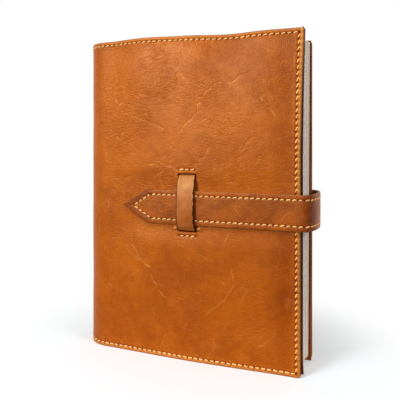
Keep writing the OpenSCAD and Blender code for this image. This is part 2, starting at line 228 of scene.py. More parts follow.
# Leather: a vegetable-tanned hide, waxed so that it lightens where it is bent or worn. Its grain, clouds and fine
# veins are one node group, which each leather piece uses its own way; painted sheen and painted shade come on top of
# these, from values in each mesh.
def leather_grain_group():
    group = bpy.data.node_groups.new("leather grain", "ShaderNodeTree")
    face = group.interface
    for label, value in (("Pebble", 900.0), ("Cloud", 22.0), ("Vein", 40.0), ("Wrinkle", 1.0)):
        socket = face.new_socket(label, in_out="INPUT", socket_type="NodeSocketFloat")
        socket.default_value = value
    for label in ("Height", "Clouds", "Veins", "Specks"):
        face.new_socket(label, in_out="OUTPUT", socket_type="NodeSocketFloat")
    given = add_node(group, "NodeGroupInput")
    where = add_node(group, "ShaderNodeTexCoord").outputs["Object"]
    noise = "ShaderNodeTexNoise"

    def pulled(vector, scale, reach, detail=2.0):
        """The place moved about by a noise, up to half this reach either way."""
        bend = add_node(group, noise, {"Vector": vector, "Scale": scale, "Detail": detail}).outputs["Color"]
        centred = add_node(group, "ShaderNodeVectorMath", {0: bend, 1: (0.5, 0.5, 0.5)},
                           operation="SUBTRACT").outputs[0]
        shift = add_node(group, "ShaderNodeVectorMath", {0: centred, "Scale": reach},
                         operation="SCALE").outputs[0]
        return add_node(group, "ShaderNodeVectorMath", {0: vector, 1: shift}, operation="ADD").outputs[0]

    def thin_lines(value, middle, wide, narrow):
        off = math_node(group, "ABSOLUTE", math_node(group, "SUBTRACT", value, middle))
        return ramp_between(group, off, wide, narrow)

    wide = add_node(group, noise, {"Vector": where, "Scale": given.outputs["Cloud"], "Detail": 3.0,
                                   "Roughness": 0.55, "Distortion": 0.6}).outputs[0]
    small = add_node(group, noise, {"Vector": where, "Scale": 190.0, "Detail": 4.0,
                                    "Roughness": 0.65}).outputs[0]
    clouds = math_node(group, "ADD", math_node(group, "MULTIPLY", wide, 0.66),
                       math_node(group, "MULTIPLY", small, 0.34))
    # Pebbled grain: rounded cells that a noise pulls out of line
    moved = pulled(where, 260.0, 0.0016)
    cells = add_node(group, "ShaderNodeTexVoronoi", {"Vector": moved, "Scale": given.outputs["Pebble"]},
                     feature="DISTANCE_TO_EDGE").outputs["Distance"]
    pebbles = ramp_between(group, cells, 0.0, 0.28)
    pores = add_node(group, noise, {"Vector": where, "Scale": 2600.0, "Detail": 1.0}).outputs[0]
    # Wrinkles: short thin folds that mostly run across the book, in patches
    drifting = pulled(where, 24.0, 0.022)
    wrinkles = 0.0
    for turn, offset, share in ((0.10, 0.0, 0.52), (0.55, 3.7, 0.57)):
        laid = add_node(group, "ShaderNodeMapping", {
            "Vector": drifting, "Location": (offset, 0, offset), "Rotation": (0, turn, 0),
        }).outputs[0]
        drawn = add_node(group, "ShaderNodeVectorMath", {0: laid, 1: (90.0, 90.0, 330.0)},
                         operation="MULTIPLY").outputs[0]
        folds = add_node(group, noise, {"Vector": drawn, "Scale": 1.0, "Detail": 2.0,
                                        "Roughness": 0.6}).outputs[0]
        patch = add_node(group, noise, {"Vector": laid, "Scale": 26.0, "Detail": 2.0}).outputs[0]
        lines = math_node(group, "MULTIPLY", thin_lines(folds, 0.5, 0.05, 0.0),
                          ramp_between(group, patch, share, share + 0.16))
        wrinkles = math_node(group, "MAXIMUM", wrinkles, lines)
    # and a net of long cells, where the hide was bent again and again
    drawn = add_node(group, "ShaderNodeVectorMath", {0: pulled(drifting, 140.0, 0.005, 3.0),
                                                     1: (170.0, 170.0, 390.0)},
                     operation="MULTIPLY").outputs[0]
    net = add_node(group, "ShaderNodeTexVoronoi", {"Vector": drawn, "Scale": 1.0},
                   feature="DISTANCE_TO_EDGE").outputs["Distance"]
    patch = add_node(group, noise, {"Vector": where, "Scale": 19.0, "Detail": 3.0}).outputs[0]
    net = math_node(group, "MULTIPLY", ramp_between(group, net, 0.11, 0.0),
                    ramp_between(group, patch, 0.42, 0.62, 0.06, 0.75))
    wrinkles = math_node(group, "MAXIMUM", wrinkles, net)
    wrinkles = math_node(group, "MULTIPLY", wrinkles, given.outputs["Wrinkle"])
    # Veins: thin broken lines between large cells, bent both widely and finely
    bent = pulled(pulled(where, 30.0, 0.030, 3.0), 210.0, 0.0036)
    net = add_node(group, "ShaderNodeTexVoronoi", {"Vector": bent, "Scale": given.outputs["Vein"]},
                   feature="DISTANCE_TO_EDGE").outputs["Distance"]
    lines = ramp_between(group, net, 0.022, 0.004)
    broken = add_node(group, noise, {"Vector": where, "Scale": 75.0, "Detail": 3.0,
                                     "Roughness": 0.65}).outputs[0]
    veins = math_node(group, "MULTIPLY", lines, ramp_between(group, broken, 0.48, 0.66))
    height = math_node(group, "MULTIPLY_ADD", pebbles, 0.20, math_node(group, "MULTIPLY", pores, 0.10))
    height = math_node(group, "MULTIPLY_ADD", veins, -0.30, height)
    height = math_node(group, "MULTIPLY_ADD", wrinkles, -0.75, height)
    light = math_node(group, "MAXIMUM", veins, math_node(group, "MULTIPLY", wrinkles, 0.16))
    add_node(group, "NodeGroupOutput", {
        "Height": height, "Clouds": clouds, "Veins": light, "Specks": pores,
    })
    return group


leather_grain = leather_grain_group()


def leather_material(name, deep, body, pale, cut, rough=0.37, pebble=900.0, cloud=22.0, vein=40.0,
                     wrinkle=0.5, grain_depth=0.00024, vein_share=0.20, shine=0.13):
    """Leather that goes from deep to body colour in clouds, is pale in its veins and where it was bent, and shows the
    colour cut along its cut edges. The mesh says where, in its values. Some of these paint light and shade: the cut
    colour stands in part for shade, needle holes are painted near black as shade, the shade mark darkens the colour,
    and the wear mark also carries painted sheen."""
    material = bpy.data.materials.new(name)
    material.use_nodes = True
    tree = material.node_tree
    tree.nodes.clear()
    grain = add_node(tree, "ShaderNodeGroup", node_tree=leather_grain)
    for label, value in (("Pebble", pebble), ("Cloud", cloud), ("Vein", vein)):
        grain.inputs[label].default_value = value
    marks = {
        label: add_node(tree, "ShaderNodeAttribute", attribute_name=label).outputs["Fac"]
        for label in ("crease", "hole", "edge", "flesh", "wear_and_sheen", "shade_and_darkening", "bent")
    }
    tree.links.new(math_node(tree, "ADD", marks["bent"], wrinkle), grain.inputs["Wrinkle"])
    share = ramp_between(tree, grain.outputs["Clouds"], 0.36, 0.62)
    colour = mix_colour(tree, share, deep, body)
    specks = ramp_between(tree, grain.outputs["Specks"], 0.35, 0.75, 0.90, 1.08)
    speck_tone = add_node(tree, "ShaderNodeCombineColor", {0: specks, 1: specks, 2: specks}).outputs[0]
    colour = mix_colour(tree, 1.0, colour, speck_tone, "MULTIPLY")
    light = math_node(tree, "MULTIPLY", grain.outputs["Veins"], vein_share)
    light = math_node(tree, "MAXIMUM", light, math_node(tree, "MULTIPLY", marks["crease"], 0.5))
    # Paler where rubbed, and where painted sheen is marked
    light = math_node(tree, "MAXIMUM", light, marks["wear_and_sheen"], clamp=True)
    colour = mix_colour(tree, light, colour, pale)
    fibres = ramp_between(tree, grain.outputs["Specks"], 0.3, 0.7, 0.75, 1.1)
    fibre_tone = add_node(tree, "ShaderNodeCombineColor", {0: fibres, 1: fibres, 2: fibres}).outputs[0]
    cut_colour = mix_colour(tree, 1.0, cut, fibre_tone, "MULTIPLY")
    # Cut colour on cut edges and the flesh side; on the front hide, the pockets and the keeper it is also painted
    # shade
    colour = mix_colour(tree, math_node(tree, "MAXIMUM", marks["edge"], marks["flesh"]), colour, cut_colour)
    # Painted shade, and a darker tone, where the mesh marks them
    colour = mix_colour(tree, marks["shade_and_darkening"], colour, mix_colour(tree, 1.0, colour, deep, "MULTIPLY"))
    # Painted shade: near black in needle holes and at the slits' ends
    colour = mix_colour(tree, marks["hole"], colour, (0.012, 0.004, 0.002, 1))
    bump = add_node(tree, "ShaderNodeBump", {
        "Height": grain.outputs["Height"], "Distance": grain_depth, "Strength": 1.0,
    })
    rougher = ramp_between(tree, grain.outputs["Clouds"], 0.3, 0.7, rough + 0.07, rough - 0.05)
    rougher = math_node(tree, "MAXIMUM", rougher, math_node(tree, "MULTIPLY", marks["flesh"], 0.9))
    skin = add_node(tree, "ShaderNodeBsdfPrincipled", {
        "Base Color": colour, "Roughness": rougher, "Normal": bump.outputs[0],
    })
    skin.inputs["Specular IOR Level"].default_value = shine
    skin.inputs["Specular Tint"].default_value = (1, 0.66, 0.38, 1)
    add_node(tree, "ShaderNodeOutputMaterial", {0: skin.outputs[0]})
    return material


# Pages: an A5 block of uncoated paper, sewn in sections with a rounded back. Each section is a
# few leaves that lie a hair further in or out than their neighbours.
PAPER = (0.94, 0.85, 0.75, 1)
PAPER_SHADE = (0.87, 0.78, 0.69, 1)
page_foot = 3.0
page_height = 209.6
page_front = 4.83
page_back = book_depth - page_front
page_last = cover_width - 0.4
page_slant = math.tan(math.radians(13.2))
page_lean = math.tan(math.radians(0.3))
page_curve = spine_r - 3.0 - 0.35
page_back_x = spine_r + 5.0
dent_in = 2.4
sections = 15
leaves_in_section = 6
rng = np.random.default_rng(11)

paper_material = bpy.data.materials.new("pages")
paper_material.use_nodes = True
tree = paper_material.node_tree
tree.nodes.clear()
where = add_node(tree, "ShaderNodeTexCoord").outputs["Object"]
parts = add_node(tree, "ShaderNodeSeparateXYZ", {0: where})
in_stack = add_node(tree, "ShaderNodeAttribute", attribute_name="stack").outputs["Fac"]
where = add_node(tree, "ShaderNodeCombineXYZ", {"X": parts.outputs[0], "Y": in_stack, "Z": parts.outputs[2]})
leaf_space = add_node(tree, "ShaderNodeMapping", {"Vector": where.outputs[0], "Scale": (4.0, 5200.0, 5.0)})
leaf_lines = add_node(tree, "ShaderNodeTexNoise", {
    "Vector": leaf_space.outputs[0], "Scale": 1.0, "Detail": 3.0, "Roughness": 0.7,
}).outputs[0]
section_shade = add_node(tree, "ShaderNodeAttribute", attribute_name="section_shade").outputs["Fac"]
tone = mix_colour(tree, ramp_between(tree, leaf_lines, 0.35, 0.65), PAPER_SHADE, PAPER)
# Painted shade: the leaves at each section's sides are darker, in the gap between sections
tone = mix_colour(tree, math_node(tree, "MULTIPLY", section_shade, 0.6), tone, (0.42, 0.38, 0.33, 1))
leaf_bump = add_node(tree, "ShaderNodeBump", {"Height": leaf_lines, "Distance": 0.00015, "Strength": 0.4})
sheet_skin = add_node(tree, "ShaderNodeBsdfPrincipled", {
    "Base Color": tone, "Roughness": 0.85, "Normal": leaf_bump.outputs[0],
})
sheet_skin.inputs["Specular IOR Level"].default_value = 0.15
add_node(tree, "ShaderNodeOutputMaterial", {0: sheet_skin.outputs[0]})

page_points = []
page_faces = []
page_section_shade = []
page_stack = []
leaf_count = sections * leaves_in_section
stations = np.linspace(0, 1, 22)
across = np.array([0, 0.25, 0.4, 0.52, 0.64, 0.76, 0.88, 1.0])
for leaf in range(leaf_count):
    in_section = leaf % leaves_in_section
    if in_section == 0:
        section_in = rng.uniform(0, 0.16)
        section_up = rng.uniform(0, 0.12)
    crown = 0.10 * abs(2 * in_section / (leaves_in_section - 1) - 1) ** 2
    inward = section_in + crown + rng.uniform(0, 0.07)
    middle = page_back - (page_back - page_front) * (1 - (leaf + 0.5) / leaf_count)
    at_back = page_back - (page_back - page_front + belly - dent_in) * (1 - (leaf + 0.5) / leaf_count)
    back = page_back_x - math.sqrt(page_curve ** 2 - (at_back - spine_y) ** 2) + inward * 0.6
    top = page_foot + page_height - section_up - rng.uniform(0, 0.05)
    foot = page_foot + section_up * 0.5 + rng.uniform(0, 0.05)
    start = len(page_points)
    for share in stations:
        z = foot + (top - foot) * share
        reach = page_last - (page_back - middle) * page_slant + (z - cover_height / 2) * page_lean - inward
        wander = 0.05 * math.sin(share * 7 + leaf * 0.35)
        x = back + (reach + wander - back) * across
        face = page_front - np.maximum(0, front_out(x) - dent_in)
        thick = (page_back - face) / leaf_count
        near = face + thick * leaf
        far = near + thick * 0.93
        ring = list(zip(x, near)) + list(zip(x[::-1], far[::-1]))
        page_points += [(a, b, z) for a, b in ring]
        page_section_shade += [1.0 if in_section in (0, leaves_in_section - 1) else 0.0] * len(ring)
        for depth in (leaf, leaf + 0.93):
            page_stack += [(page_back - page_front) * depth / leaf_count * MM] * len(x)
    around = len(ring)
    for k in range(len(stations) - 1):
        low = start + around * k
        for side in range(around):
            nxt = (side + 1) % around
            page_faces.append((low + side, low + nxt, low + around + nxt, low + around + side))
    page_faces.append(tuple(range(start + around - 1, start - 1, -1)))
    last = start + around * (len(stations) - 1)
    page_faces.append(tuple(range(last, last + around)))
pages = plain_mesh("pages", page_points, page_faces, paper_material, {
    "section_shade": page_section_shade, "stack": page_stack,
})
pages.data.polygons.foreach_set("use_smooth", np.zeros(len(pages.data.polygons), bool))
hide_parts("page_block")
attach(pages, "spine_and_pages")


# Hide: one piece of waxed leather round the whole book. It is laid out flat, from the spine's
# middle to the fore edge, and then wrapped. The front half's top stands out in a soft wave.
HIDE_DEEP = (0.34, 0.068, 0.002, 1)
HIDE_BODY = (0.47, 0.108, 0.004, 1)
HIDE_PALE = (0.80, 0.325, 0.060, 1)
# Cut colour of the hide, made near black in part as painted shade
HIDE_CUT_AND_SHADE = (0.050, 0.013, 0.003, 1)
edge_round = 0.45
stitch_inset = 2.3
stitch_pitch = 3.8
stitch_length = 2.9
thread_d = 0.8
foot_row, top_row, fore_row = 2.4, 2.9, 3.1
row_gap = thread_d / 2
corner_cut = 1.5
corner_reach = 3.6
calm_z = 130.0
wave_out, wave_x, wave_half = 2.0, 49.25, 27.0
dent_x, dent_half = 108.25, 30.0
top_rise, top_dip = 0.5, 0.6
corner_flare = 1.6
slit_high, slit_low, slit_open = 123.7, 87.2, 2.2
keeper_width, keeper_t = 12.4, 1.2
keeper_x = cover_width - 75.4
bar_offset = 3.9
strap_width = 22.5
strap_z = 102.2
fine_step = 0.40
fine_in_coarse = 4

hide_material = leather_material("waxed tan hide", HIDE_DEEP, HIDE_BODY, HIDE_PALE, HIDE_CUT_AND_SHADE)


def bump(x, mid, half):
    near = np.abs(x - mid) < half
    return np.where(near, (1 + np.cos(np.pi * (x - mid) / half)) / 2, 0.0)


def softness(z):
    return (np.maximum(0, z - calm_z) / (cover_height - calm_z)) ** 1.6


def swell(x, z):
    wave = wave_out * bump(x, wave_x, wave_half) - dent_in * bump(x, dent_x, dent_half)
    return front_out(x) + wave * softness(z)


def plump(x, z):
    """The cover is padded out, but for its rows of stitches and where the strap presses on it."""
    pressed = np.clip(1 - (np.abs(z - strap_z) - strap_width / 2) / 16, 0, 1)
    rise = (1 - ease(pressed)) * np.clip((x - panel_x) / 30, 0, 1)
    for inside, reach in ((cover_width - x, 12), (cover_height - z, 11), (z, 9)):
        rise = rise * (1 - np.exp(-(np.maximum(0, inside - 4) / reach) ** 2))
    return 1.15 * rise


def drawn_in(inside, z):
    """How far the stitches draw the front cover's fore edge in, below its flaring corner."""
    return 0.80 * np.clip(1 - inside / 8, 0, 1) * (1 - softness(z))


def top_change(x):
    return top_rise * bump(x, wave_x + 4, wave_half + 9) - top_dip * bump(x, dent_x, dent_half)


def row_places(length):
    count = round(length / stitch_pitch)
    return length * (np.arange(count) + 0.5) / count


def dot_field(x, z, spots):
    """The strongest of several soft round spots, each given as place and size."""
    field = np.zeros(np.broadcast(x, z).shape)
    for cx, cz, size in spots:
        field = np.maximum(field, np.exp(-((x - cx) ** 2 + (z - cz) ** 2) / size ** 2))
    return field


def line_field(x, z, lines, width):
    """1 along each bent line of points, fading to nothing at the line's sides and ends."""
    field = np.zeros(np.broadcast(x, z).shape)
    for line in lines:
        for k in range(len(line) - 1):
            (ax, az), (bx, bz) = line[k], line[k + 1]
            length = math.hypot(bx - ax, bz - az)
            along = ((x - ax) * (bx - ax) + (z - az) * (bz - az)) / length ** 2
            kept = np.clip(along, 0, 1)
            away = np.hypot(x - ax - kept * (bx - ax), z - az - kept * (bz - az))
            fade_in = np.clip(kept * 3, 0, 1) if k == 0 else 1.0
            fade_out = np.clip((1 - kept) * 3, 0, 1) if k == len(line) - 2 else 1.0
            field = np.maximum(field, np.exp(-(away / width) ** 2) * fade_in * fade_out)
    return field


def slow_waves(x, z, seed, length):
    """A smooth uneven surface about 1 high, whose swells are about this long."""
    draw = np.random.default_rng(seed)
    total = np.zeros(np.broadcast(x, z).shape)
    for _ in range(14):
        turn = draw.uniform(0, 2 * math.pi)
        size = length * draw.uniform(0.6, 1.7)
        total = total + np.sin((x * math.cos(turn) + z * math.sin(turn)) * 2 * math.pi / size
                               + draw.uniform(0, 2 * math.pi))
    return total / 5


def sheet_faces(fine, hole, number, turned):
    """Faces over a lattice of coarse squares, some of which are cut into fine ones. A coarse
    square takes in the fine points on any side that it shares with a fine one or with the rim."""
    faces = []
    n = fine_in_coarse
    columns, rows = fine.shape
    for i in range(columns):
        for j in range(rows):
            if fine[i, j]:
                for a in range(i * n, i * n + n):
                    for b in range(j * n, j * n + n):
                        if not hole[a, b]:
                            faces.append((number[a, b], number[a + 1, b],
                                          number[a + 1, b + 1], number[a, b + 1]))
                continue
            ring = []
            for low, step, cut in (
                ((i * n, j * n), (1, 0), j == 0 or fine[i, j - 1]),
                ((i * n + n, j * n), (0, 1), i == columns - 1 or fine[i + 1, j]),
                ((i * n + n, j * n + n), (-1, 0), j == rows - 1 or fine[i, j + 1]),
                ((i * n, j * n + n), (0, -1), i == 0 or fine[i - 1, j]),
            ):
                for k in range(n if cut else 1):
                    ring.append(number[low[0] + step[0] * k, low[1] + step[1] * k])
            faces.append(tuple(ring))
    return [f[::-1] for f in faces] if turned else faces


def closed_sheet(name, outer, inner, material, values, fine, inner_fine, hole, joined_start, rounding,
                 cut_share=1.0):
    """Leather between two lattices of points, with a rounded rim all round. Where joined_start,
    its first side is a plain wall that meets the sheet's other half."""
    n = fine_in_coarse
    wide, high = outer.shape[:2]

    def used_points(mask):
        used = np.zeros((wide, high), bool)
        used[::n, ::n] = True
        used[0, :] = used[-1, :] = True
        used[:, 0] = used[:, -1] = True
        for i, j in zip(*np.nonzero(mask)):
            used[i * n:i * n + n + 1, j * n:j * n + n + 1] = True
        whole = np.ones((wide, high), bool)
        inside = hole[:-1, :-1] & hole[1:, :-1] & hole[:-1, 1:] & hole[1:, 1:]
        whole[1:-1, 1:-1] = ~inside
        return used & whole

    outer_used = used_points(fine)
    inner_used = used_points(inner_fine)
    outer_number = np.full((wide, high), -1)
    outer_number[outer_used] = np.arange(outer_used.sum())
    inner_number = np.full((wide, high), -1)
    inner_number[inner_used] = np.arange(inner_used.sum()) + outer_used.sum()
    points = [outer[outer_used], inner[inner_used]]
    total = outer_used.sum() + inner_used.sum()
    faces = sheet_faces(fine, hole, outer_number, False) + sheet_faces(inner_fine, hole, inner_number, True)

    ring = ([(i, 0) for i in range(wide - 1)] + [(wide - 1, j) for j in range(high - 1)]
            + [(i, high - 1) for i in range(wide - 1, 0, -1)] + [(0, j) for j in range(high - 1, 0, -1)])
    rim_out = np.zeros((len(ring), 3))
    for k, (i, j) in enumerate(ring):
        for edge, at, back in (
            (j == 0, (i, 0), (i, 2)), (i == wide - 1, (wide - 1, j), (wide - 3, j)),
            (j == high - 1, (i, high - 1), (i, high - 3)), (i == 0 and not joined_start, (0, j), (2, j)),
        ):
            if edge:
                step = inner[at] - inner[back]
                rim_out[k] += step / np.linalg.norm(step)
        size = np.linalg.norm(rim_out[k])
        if size > 1:
            rim_out[k] /= size
    rows = np.array([0.035, 0.13, 0.32, 0.5, 0.68, 0.87, 0.965])
    top_ring = np.array([outer[i, j] for i, j in ring])
    low_ring = np.array([inner[i, j] for i, j in ring])
    loops = [np.array([outer_number[i, j] for i, j in ring])]
    for share in rows:
        bulge = rounding * (1 - abs(2 * share - 1) ** 4) ** 0.25
        points.append(top_ring + (low_ring - top_ring) * share + rim_out * bulge)
        loops.append(np.arange(len(ring)) + total)
        total += len(ring)
    loops.append(np.array([inner_number[i, j] for i, j in ring]))
    for upper, lower in zip(loops, loops[1:]):
        for k in range(len(ring)):
            m = (k + 1) % len(ring)
            faces.append((upper[m], upper[k], lower[k], lower[m]))

    absent = np.zeros((wide + 1, high + 1), bool)
    absent[1:-1, 1:-1] = hole
    for a, b in zip(*np.nonzero(hole)):
        for side, p, q in (
            (absent[a + 1, b], (a, b), (a + 1, b)), (absent[a + 2, b + 1], (a + 1, b), (a + 1, b + 1)),
            (absent[a + 1, b + 2], (a + 1, b + 1), (a, b + 1)), (absent[a, b + 1], (a, b + 1), (a, b)),
        ):
            if not side:
                faces.append((outer_number[p], outer_number[q], inner_number[q], inner_number[p]))

    counted = {}
    unshaded_edge = values.pop("unshaded_edge", np.zeros((wide, high)))
    unshaded_edge = np.array([unshaded_edge[i, j] for i, j in ring])
    for label, grid in values.items():
        border = np.array([grid[i, j] for i, j in ring])
        counted[label] = np.concatenate([grid[outer_used], np.zeros(inner_used.sum())]
                                        + [border * (1 - share) for share in rows])
    rim = np.tile((np.linalg.norm(rim_out, axis=1) > 0) * (1 - unshaded_edge), len(rows)) * cut_share
    none = np.zeros(outer_used.sum())
    counted["edge"] = np.concatenate([none, np.zeros(inner_used.sum()), rim])
    counted["flesh"] = np.concatenate([none, np.ones(inner_used.sum()), np.zeros(len(rim))])
    faces = [tuple(int(v) for v in f) for f in faces]
    thing = plain_mesh(name, np.concatenate(points), faces, material, counted)
    if joined_start:
        seam = np.zeros(total, bool)
        seam[outer_number[0, :]] = True
        seam[inner_number[0, :]] = True
        ends = np.zeros(len(thing.data.edges) * 2, int)
        thing.data.edges.foreach_get("vertices", ends)
        sharp = seam[ends].reshape(-1, 2).all(1)
        layer = thing.data.attributes.new("sharp_edge", "BOOLEAN", "EDGE")
        layer.data.foreach_set("value", sharp)
    return thing


# Creases of the front cover, which show pale where the waxed leather was bent, as they lie on
# the cover from the spine and up from its foot.
creases = [
    [(34, 166), (46, 163), (61, 157), (67, 154)],
    [(29, 146), (38, 157)],
    [(29, 168), (36, 178)],
    [(49, 132), (65, 129)],
    [(57, 121), (65, 126), (71, 134)],
    [(31, 117), (41, 124)],
    [(73, 152), (84, 158), (90, 166), (93, 176)],
    [(71, 186), (83, 180)],
    [(87, 172), (99, 183), (106, 184)],
    [(109, 184), (118, 188), (129, 192)],
    [(85, 128), (95, 136), (100, 145)],
    [(38, 77), (46, 68), (58, 57)],
    [(37, 69), (49, 65), (60, 71)],
    [(41, 84), (43, 72)],
    [(52, 60), (63, 46), (71, 40)],
    [(113, 70), (115, 53), (108, 43), (95, 33)],
    [(124, 11), (136, 20), (143, 28)],
    [(104, 58), (113, 50)],
    [(131, 176), (138, 168), (142, 160)],
    [(118, 139), (129, 150)],
]


def row_relief(inside, nearest_hole):
    """Leather along a row of stitches: drawn in under the thread, deep at each needle hole, and
    plump between the row and the edge."""
    trough = np.exp(-((inside - stitch_inset) / 0.75) ** 2)
    pinch = np.exp(-(nearest_hole / 0.60) ** 2)
    lip = np.exp(-((inside - 0.95) / 0.60) ** 2) + 0.5 * np.exp(-((inside - 3.9) / 0.8) ** 2)
    return -trough * (0.26 + 0.40 * pinch) + lip * (0.27 - 0.22 * np.exp(-(nearest_hole / 0.9) ** 2))


# Painted shade: where a row's needle holes are painted dark
def row_hole_shade(inside, nearest_hole):
    return np.exp(-((inside - stitch_inset) ** 2 / 0.52 ** 2 + nearest_hole ** 2 / 0.62 ** 2))


def hide_half(name, front, width):
    """The front or back half of the hide, wrapped from the spine's middle to its fore edge."""
    run = half_arc + width - fold_x - edge_round
    columns = round(run / (fine_step * fine_in_coarse))
    rows = round((cover_height - 2 * edge_round) / (fine_step * fine_in_coarse))
    s = np.linspace(0, run, columns * fine_in_coarse + 1)[:, None]
    z = np.linspace(edge_round, cover_height - edge_round, rows * fine_in_coarse + 1)[None, :]
    s, z = np.broadcast_arrays(s, z)
    run = half_arc + width - fold_x

    # Needle holes lie half way between neighbouring stitches, in each of the three rows
    spine_row = row_places(2 * half_arc) - half_arc
    long_row = row_places(width - fore_row - row_gap - panel_x)
    long_row = np.concatenate([spine_row, half_arc + panel_x - fold_x + long_row])
    long_holes = np.append((long_row[1:] + long_row[:-1]) / 2, run - fore_row)
    side_length = cover_height - foot_row - top_row - 2 * row_gap - (0 if front else back_slope)
    side_row = foot_row + row_gap + row_places(side_length)
    side_holes = np.concatenate([[foot_row], (side_row[1:] + side_row[:-1]) / 2,
                                 [side_length + foot_row + 2 * row_gap]])
    to_long = np.abs(s[:, :1] - long_holes).min(1)[:, None]
    to_side = np.abs(z[:1, :].T - side_holes).min(1)[None, :]
    from_foot, from_top, from_fore = z, cover_height - z, run - s
    relief = np.zeros(s.shape)
    # Painted shade in the needle holes, some darker than others
    hole = np.zeros(s.shape)
    past_corner = from_fore > fore_row - 0.6
    shade = 0.85 + 0.25 * slow_waves(s, z, 71, 9)
    for inside in (from_foot - foot_row + stitch_inset, from_top - top_row + stitch_inset):
        relief = np.where(past_corner, relief + row_relief(inside, to_long), relief)
        hole = np.maximum(hole, row_hole_shade(inside, to_long) * past_corner * shade)
    within = (from_foot > foot_row - 0.6) & (from_top > top_row - 0.6)
    inside = from_fore - fore_row + stitch_inset
    relief = np.where(within, relief + row_relief(inside, to_side), relief)
    hole = np.clip(np.maximum(hole, row_hole_shade(inside - 0.4, to_side) * within * shade), 0, 1)

    x = fold_x + s - half_arc
    relief = relief + 0.10 * slow_waves(s if front else -s, z, 5, 46) * np.clip(s / 14, 0, 1)
    crease = np.zeros(s.shape)
    pinched = 1 - 0.7 * np.exp(-(to_side / 0.9) ** 2)
    # Paler rim along the fore edge, less so at each stitch's pinch: a rubbed edge with painted sheen that grows
    # towards the top. The top and foot edges are paler where rubbed
    wear_and_sheen = (0.42 + 0.45 * z / cover_height) * np.exp(-((from_fore - 1.5) / 0.8) ** 2) * pinched
    wear_and_sheen = np.maximum(wear_and_sheen, 0.30 * np.exp(-((np.minimum(from_foot, from_top) - 1.1) / 0.8) ** 2))
    worn_places = ((46, 168, 36, 0.7), (42, 130, 26, 0.8), (100, 150, 30, 0.6), (134, 186, 22, 0.7))
    bent = np.zeros(s.shape)
    for at_x, at_z, size, share in worn_places:
        bent = np.maximum(bent, share * np.exp(-((x - at_x) ** 2 + (z - at_z) ** 2) / size ** 2))
    # Painted shade: darker in the dip inside the fore-edge row, round the spine's curve as it turns from the light,
    # and towards the lower fore corner
    shade_and_darkening = 0.26 * np.exp(-((from_fore - 11) / 7) ** 2) + 0.22 * np.clip(1 - s / (half_arc + 6), 0, 1)
    shade_and_darkening = shade_and_darkening + 0.20 * np.exp(-((x - 122) ** 2 + (z - 40) ** 2) / 58 ** 2)
    fine_wish = np.zeros(s.shape, bool)
    slit = np.zeros((s.shape[0] - 1, s.shape[1] - 1), bool)
    if front:
        bent_x = x + 1.1 * slow_waves(x, z, 51, 13) + 0.35 * slow_waves(x, z, 52, 4)
        bent_z = z + 1.1 * slow_waves(x, z, 53, 13) + 0.35 * slow_waves(x, z, 54, 4)
        crease = line_field(bent_x, bent_z, creases, 0.36) * np.clip(0.5 + 0.6 * slow_waves(x, z, 9, 8), 0, 1)
        relief = relief - 0.14 * line_field(bent_x, bent_z, creases, 0.6)
        fine_wish = line_field(bent_x, bent_z, creases, 1.1) > 0.1
        relief = relief + plump(x, z)
        near_keeper = (np.abs(x - keeper_x) < 15) & (z > slit_low - 9) & (z < slit_high + 9)
        fine_wish = fine_wish | near_keeper
        # The keeper's pull: a lip at each slit, puckers at the lower slit's ends, and a dimple in each needle hole of
        # the two bars. The dimples and the lower slit's ends are also painted dark as shade
        across = np.clip((keeper_width / 2 + 1.5 - np.abs(x - keeper_x)) / 1.5, 0, 1)
        for place, away in ((slit_high, 1), (slit_low, -1)):
            out = (z - place) * away
            relief = relief + across * 0.75 * np.exp(-((out - 2.2) / 1.3) ** 2)
            relief = relief - across * 0.55 * np.exp(-((out + 0.9) / 1.0) ** 2)
            bar = place + away * bar_offset
            pricks = [(keeper_x + (k - 1.5) * stitch_pitch, bar, 0.6) for k in range(4)]
            dimples = dot_field(x, z, pricks)
            relief = relief - 0.35 * dimples
            relief = relief - across * 0.22 * np.exp(-((z - bar) / 1.1) ** 2)
            hole = np.maximum(hole, dimples)
        slit_ends = [
            [(keeper_x + side * (keeper_width / 2 - 0.5), slit_low - 0.6), (keeper_x + side * 9.6, slit_low - 0.1)]
            for side in (-1, 1)
        ]
        hole = np.maximum(hole, 0.9 * line_field(x, z, slit_ends, 0.45))
        relief = relief - 0.5 * line_field(x, z, slit_ends, 0.6)
        puckers = [(keeper_x + side * (keeper_width / 2 + 2.0), slit_low + 1.3, 1.5) for side in (-1, 1)]
        relief = relief + 1.5 * dot_field(x, z, puckers)
        wear_and_sheen = np.maximum(wear_and_sheen, dot_field(x, z, [(a, b, 1.3) for a, b, _ in puckers]))
        middle_x = (x[1:, :-1] + x[:-1, :-1]) / 2
        middle_z = (z[:-1, 1:] + z[:-1, :-1]) / 2
        for place in (slit_low, slit_high):
            slit |= (np.abs(middle_x - keeper_x) < keeper_width / 2 + 0.3) & (
                np.abs(middle_z - place) < slit_open / 2)

    # The hide's real outline: cut corners, the flare and the wave of the top edge
    beside = np.minimum(from_foot, from_top)
    cut = corner_cut / 2 * np.clip(1 - (from_fore + beside) / corner_reach, 0, 1) ** 2
    x_cut = x - cut
    z_cut = z + np.where(from_foot < from_top, cut, -cut * (0.3 if front else 1))

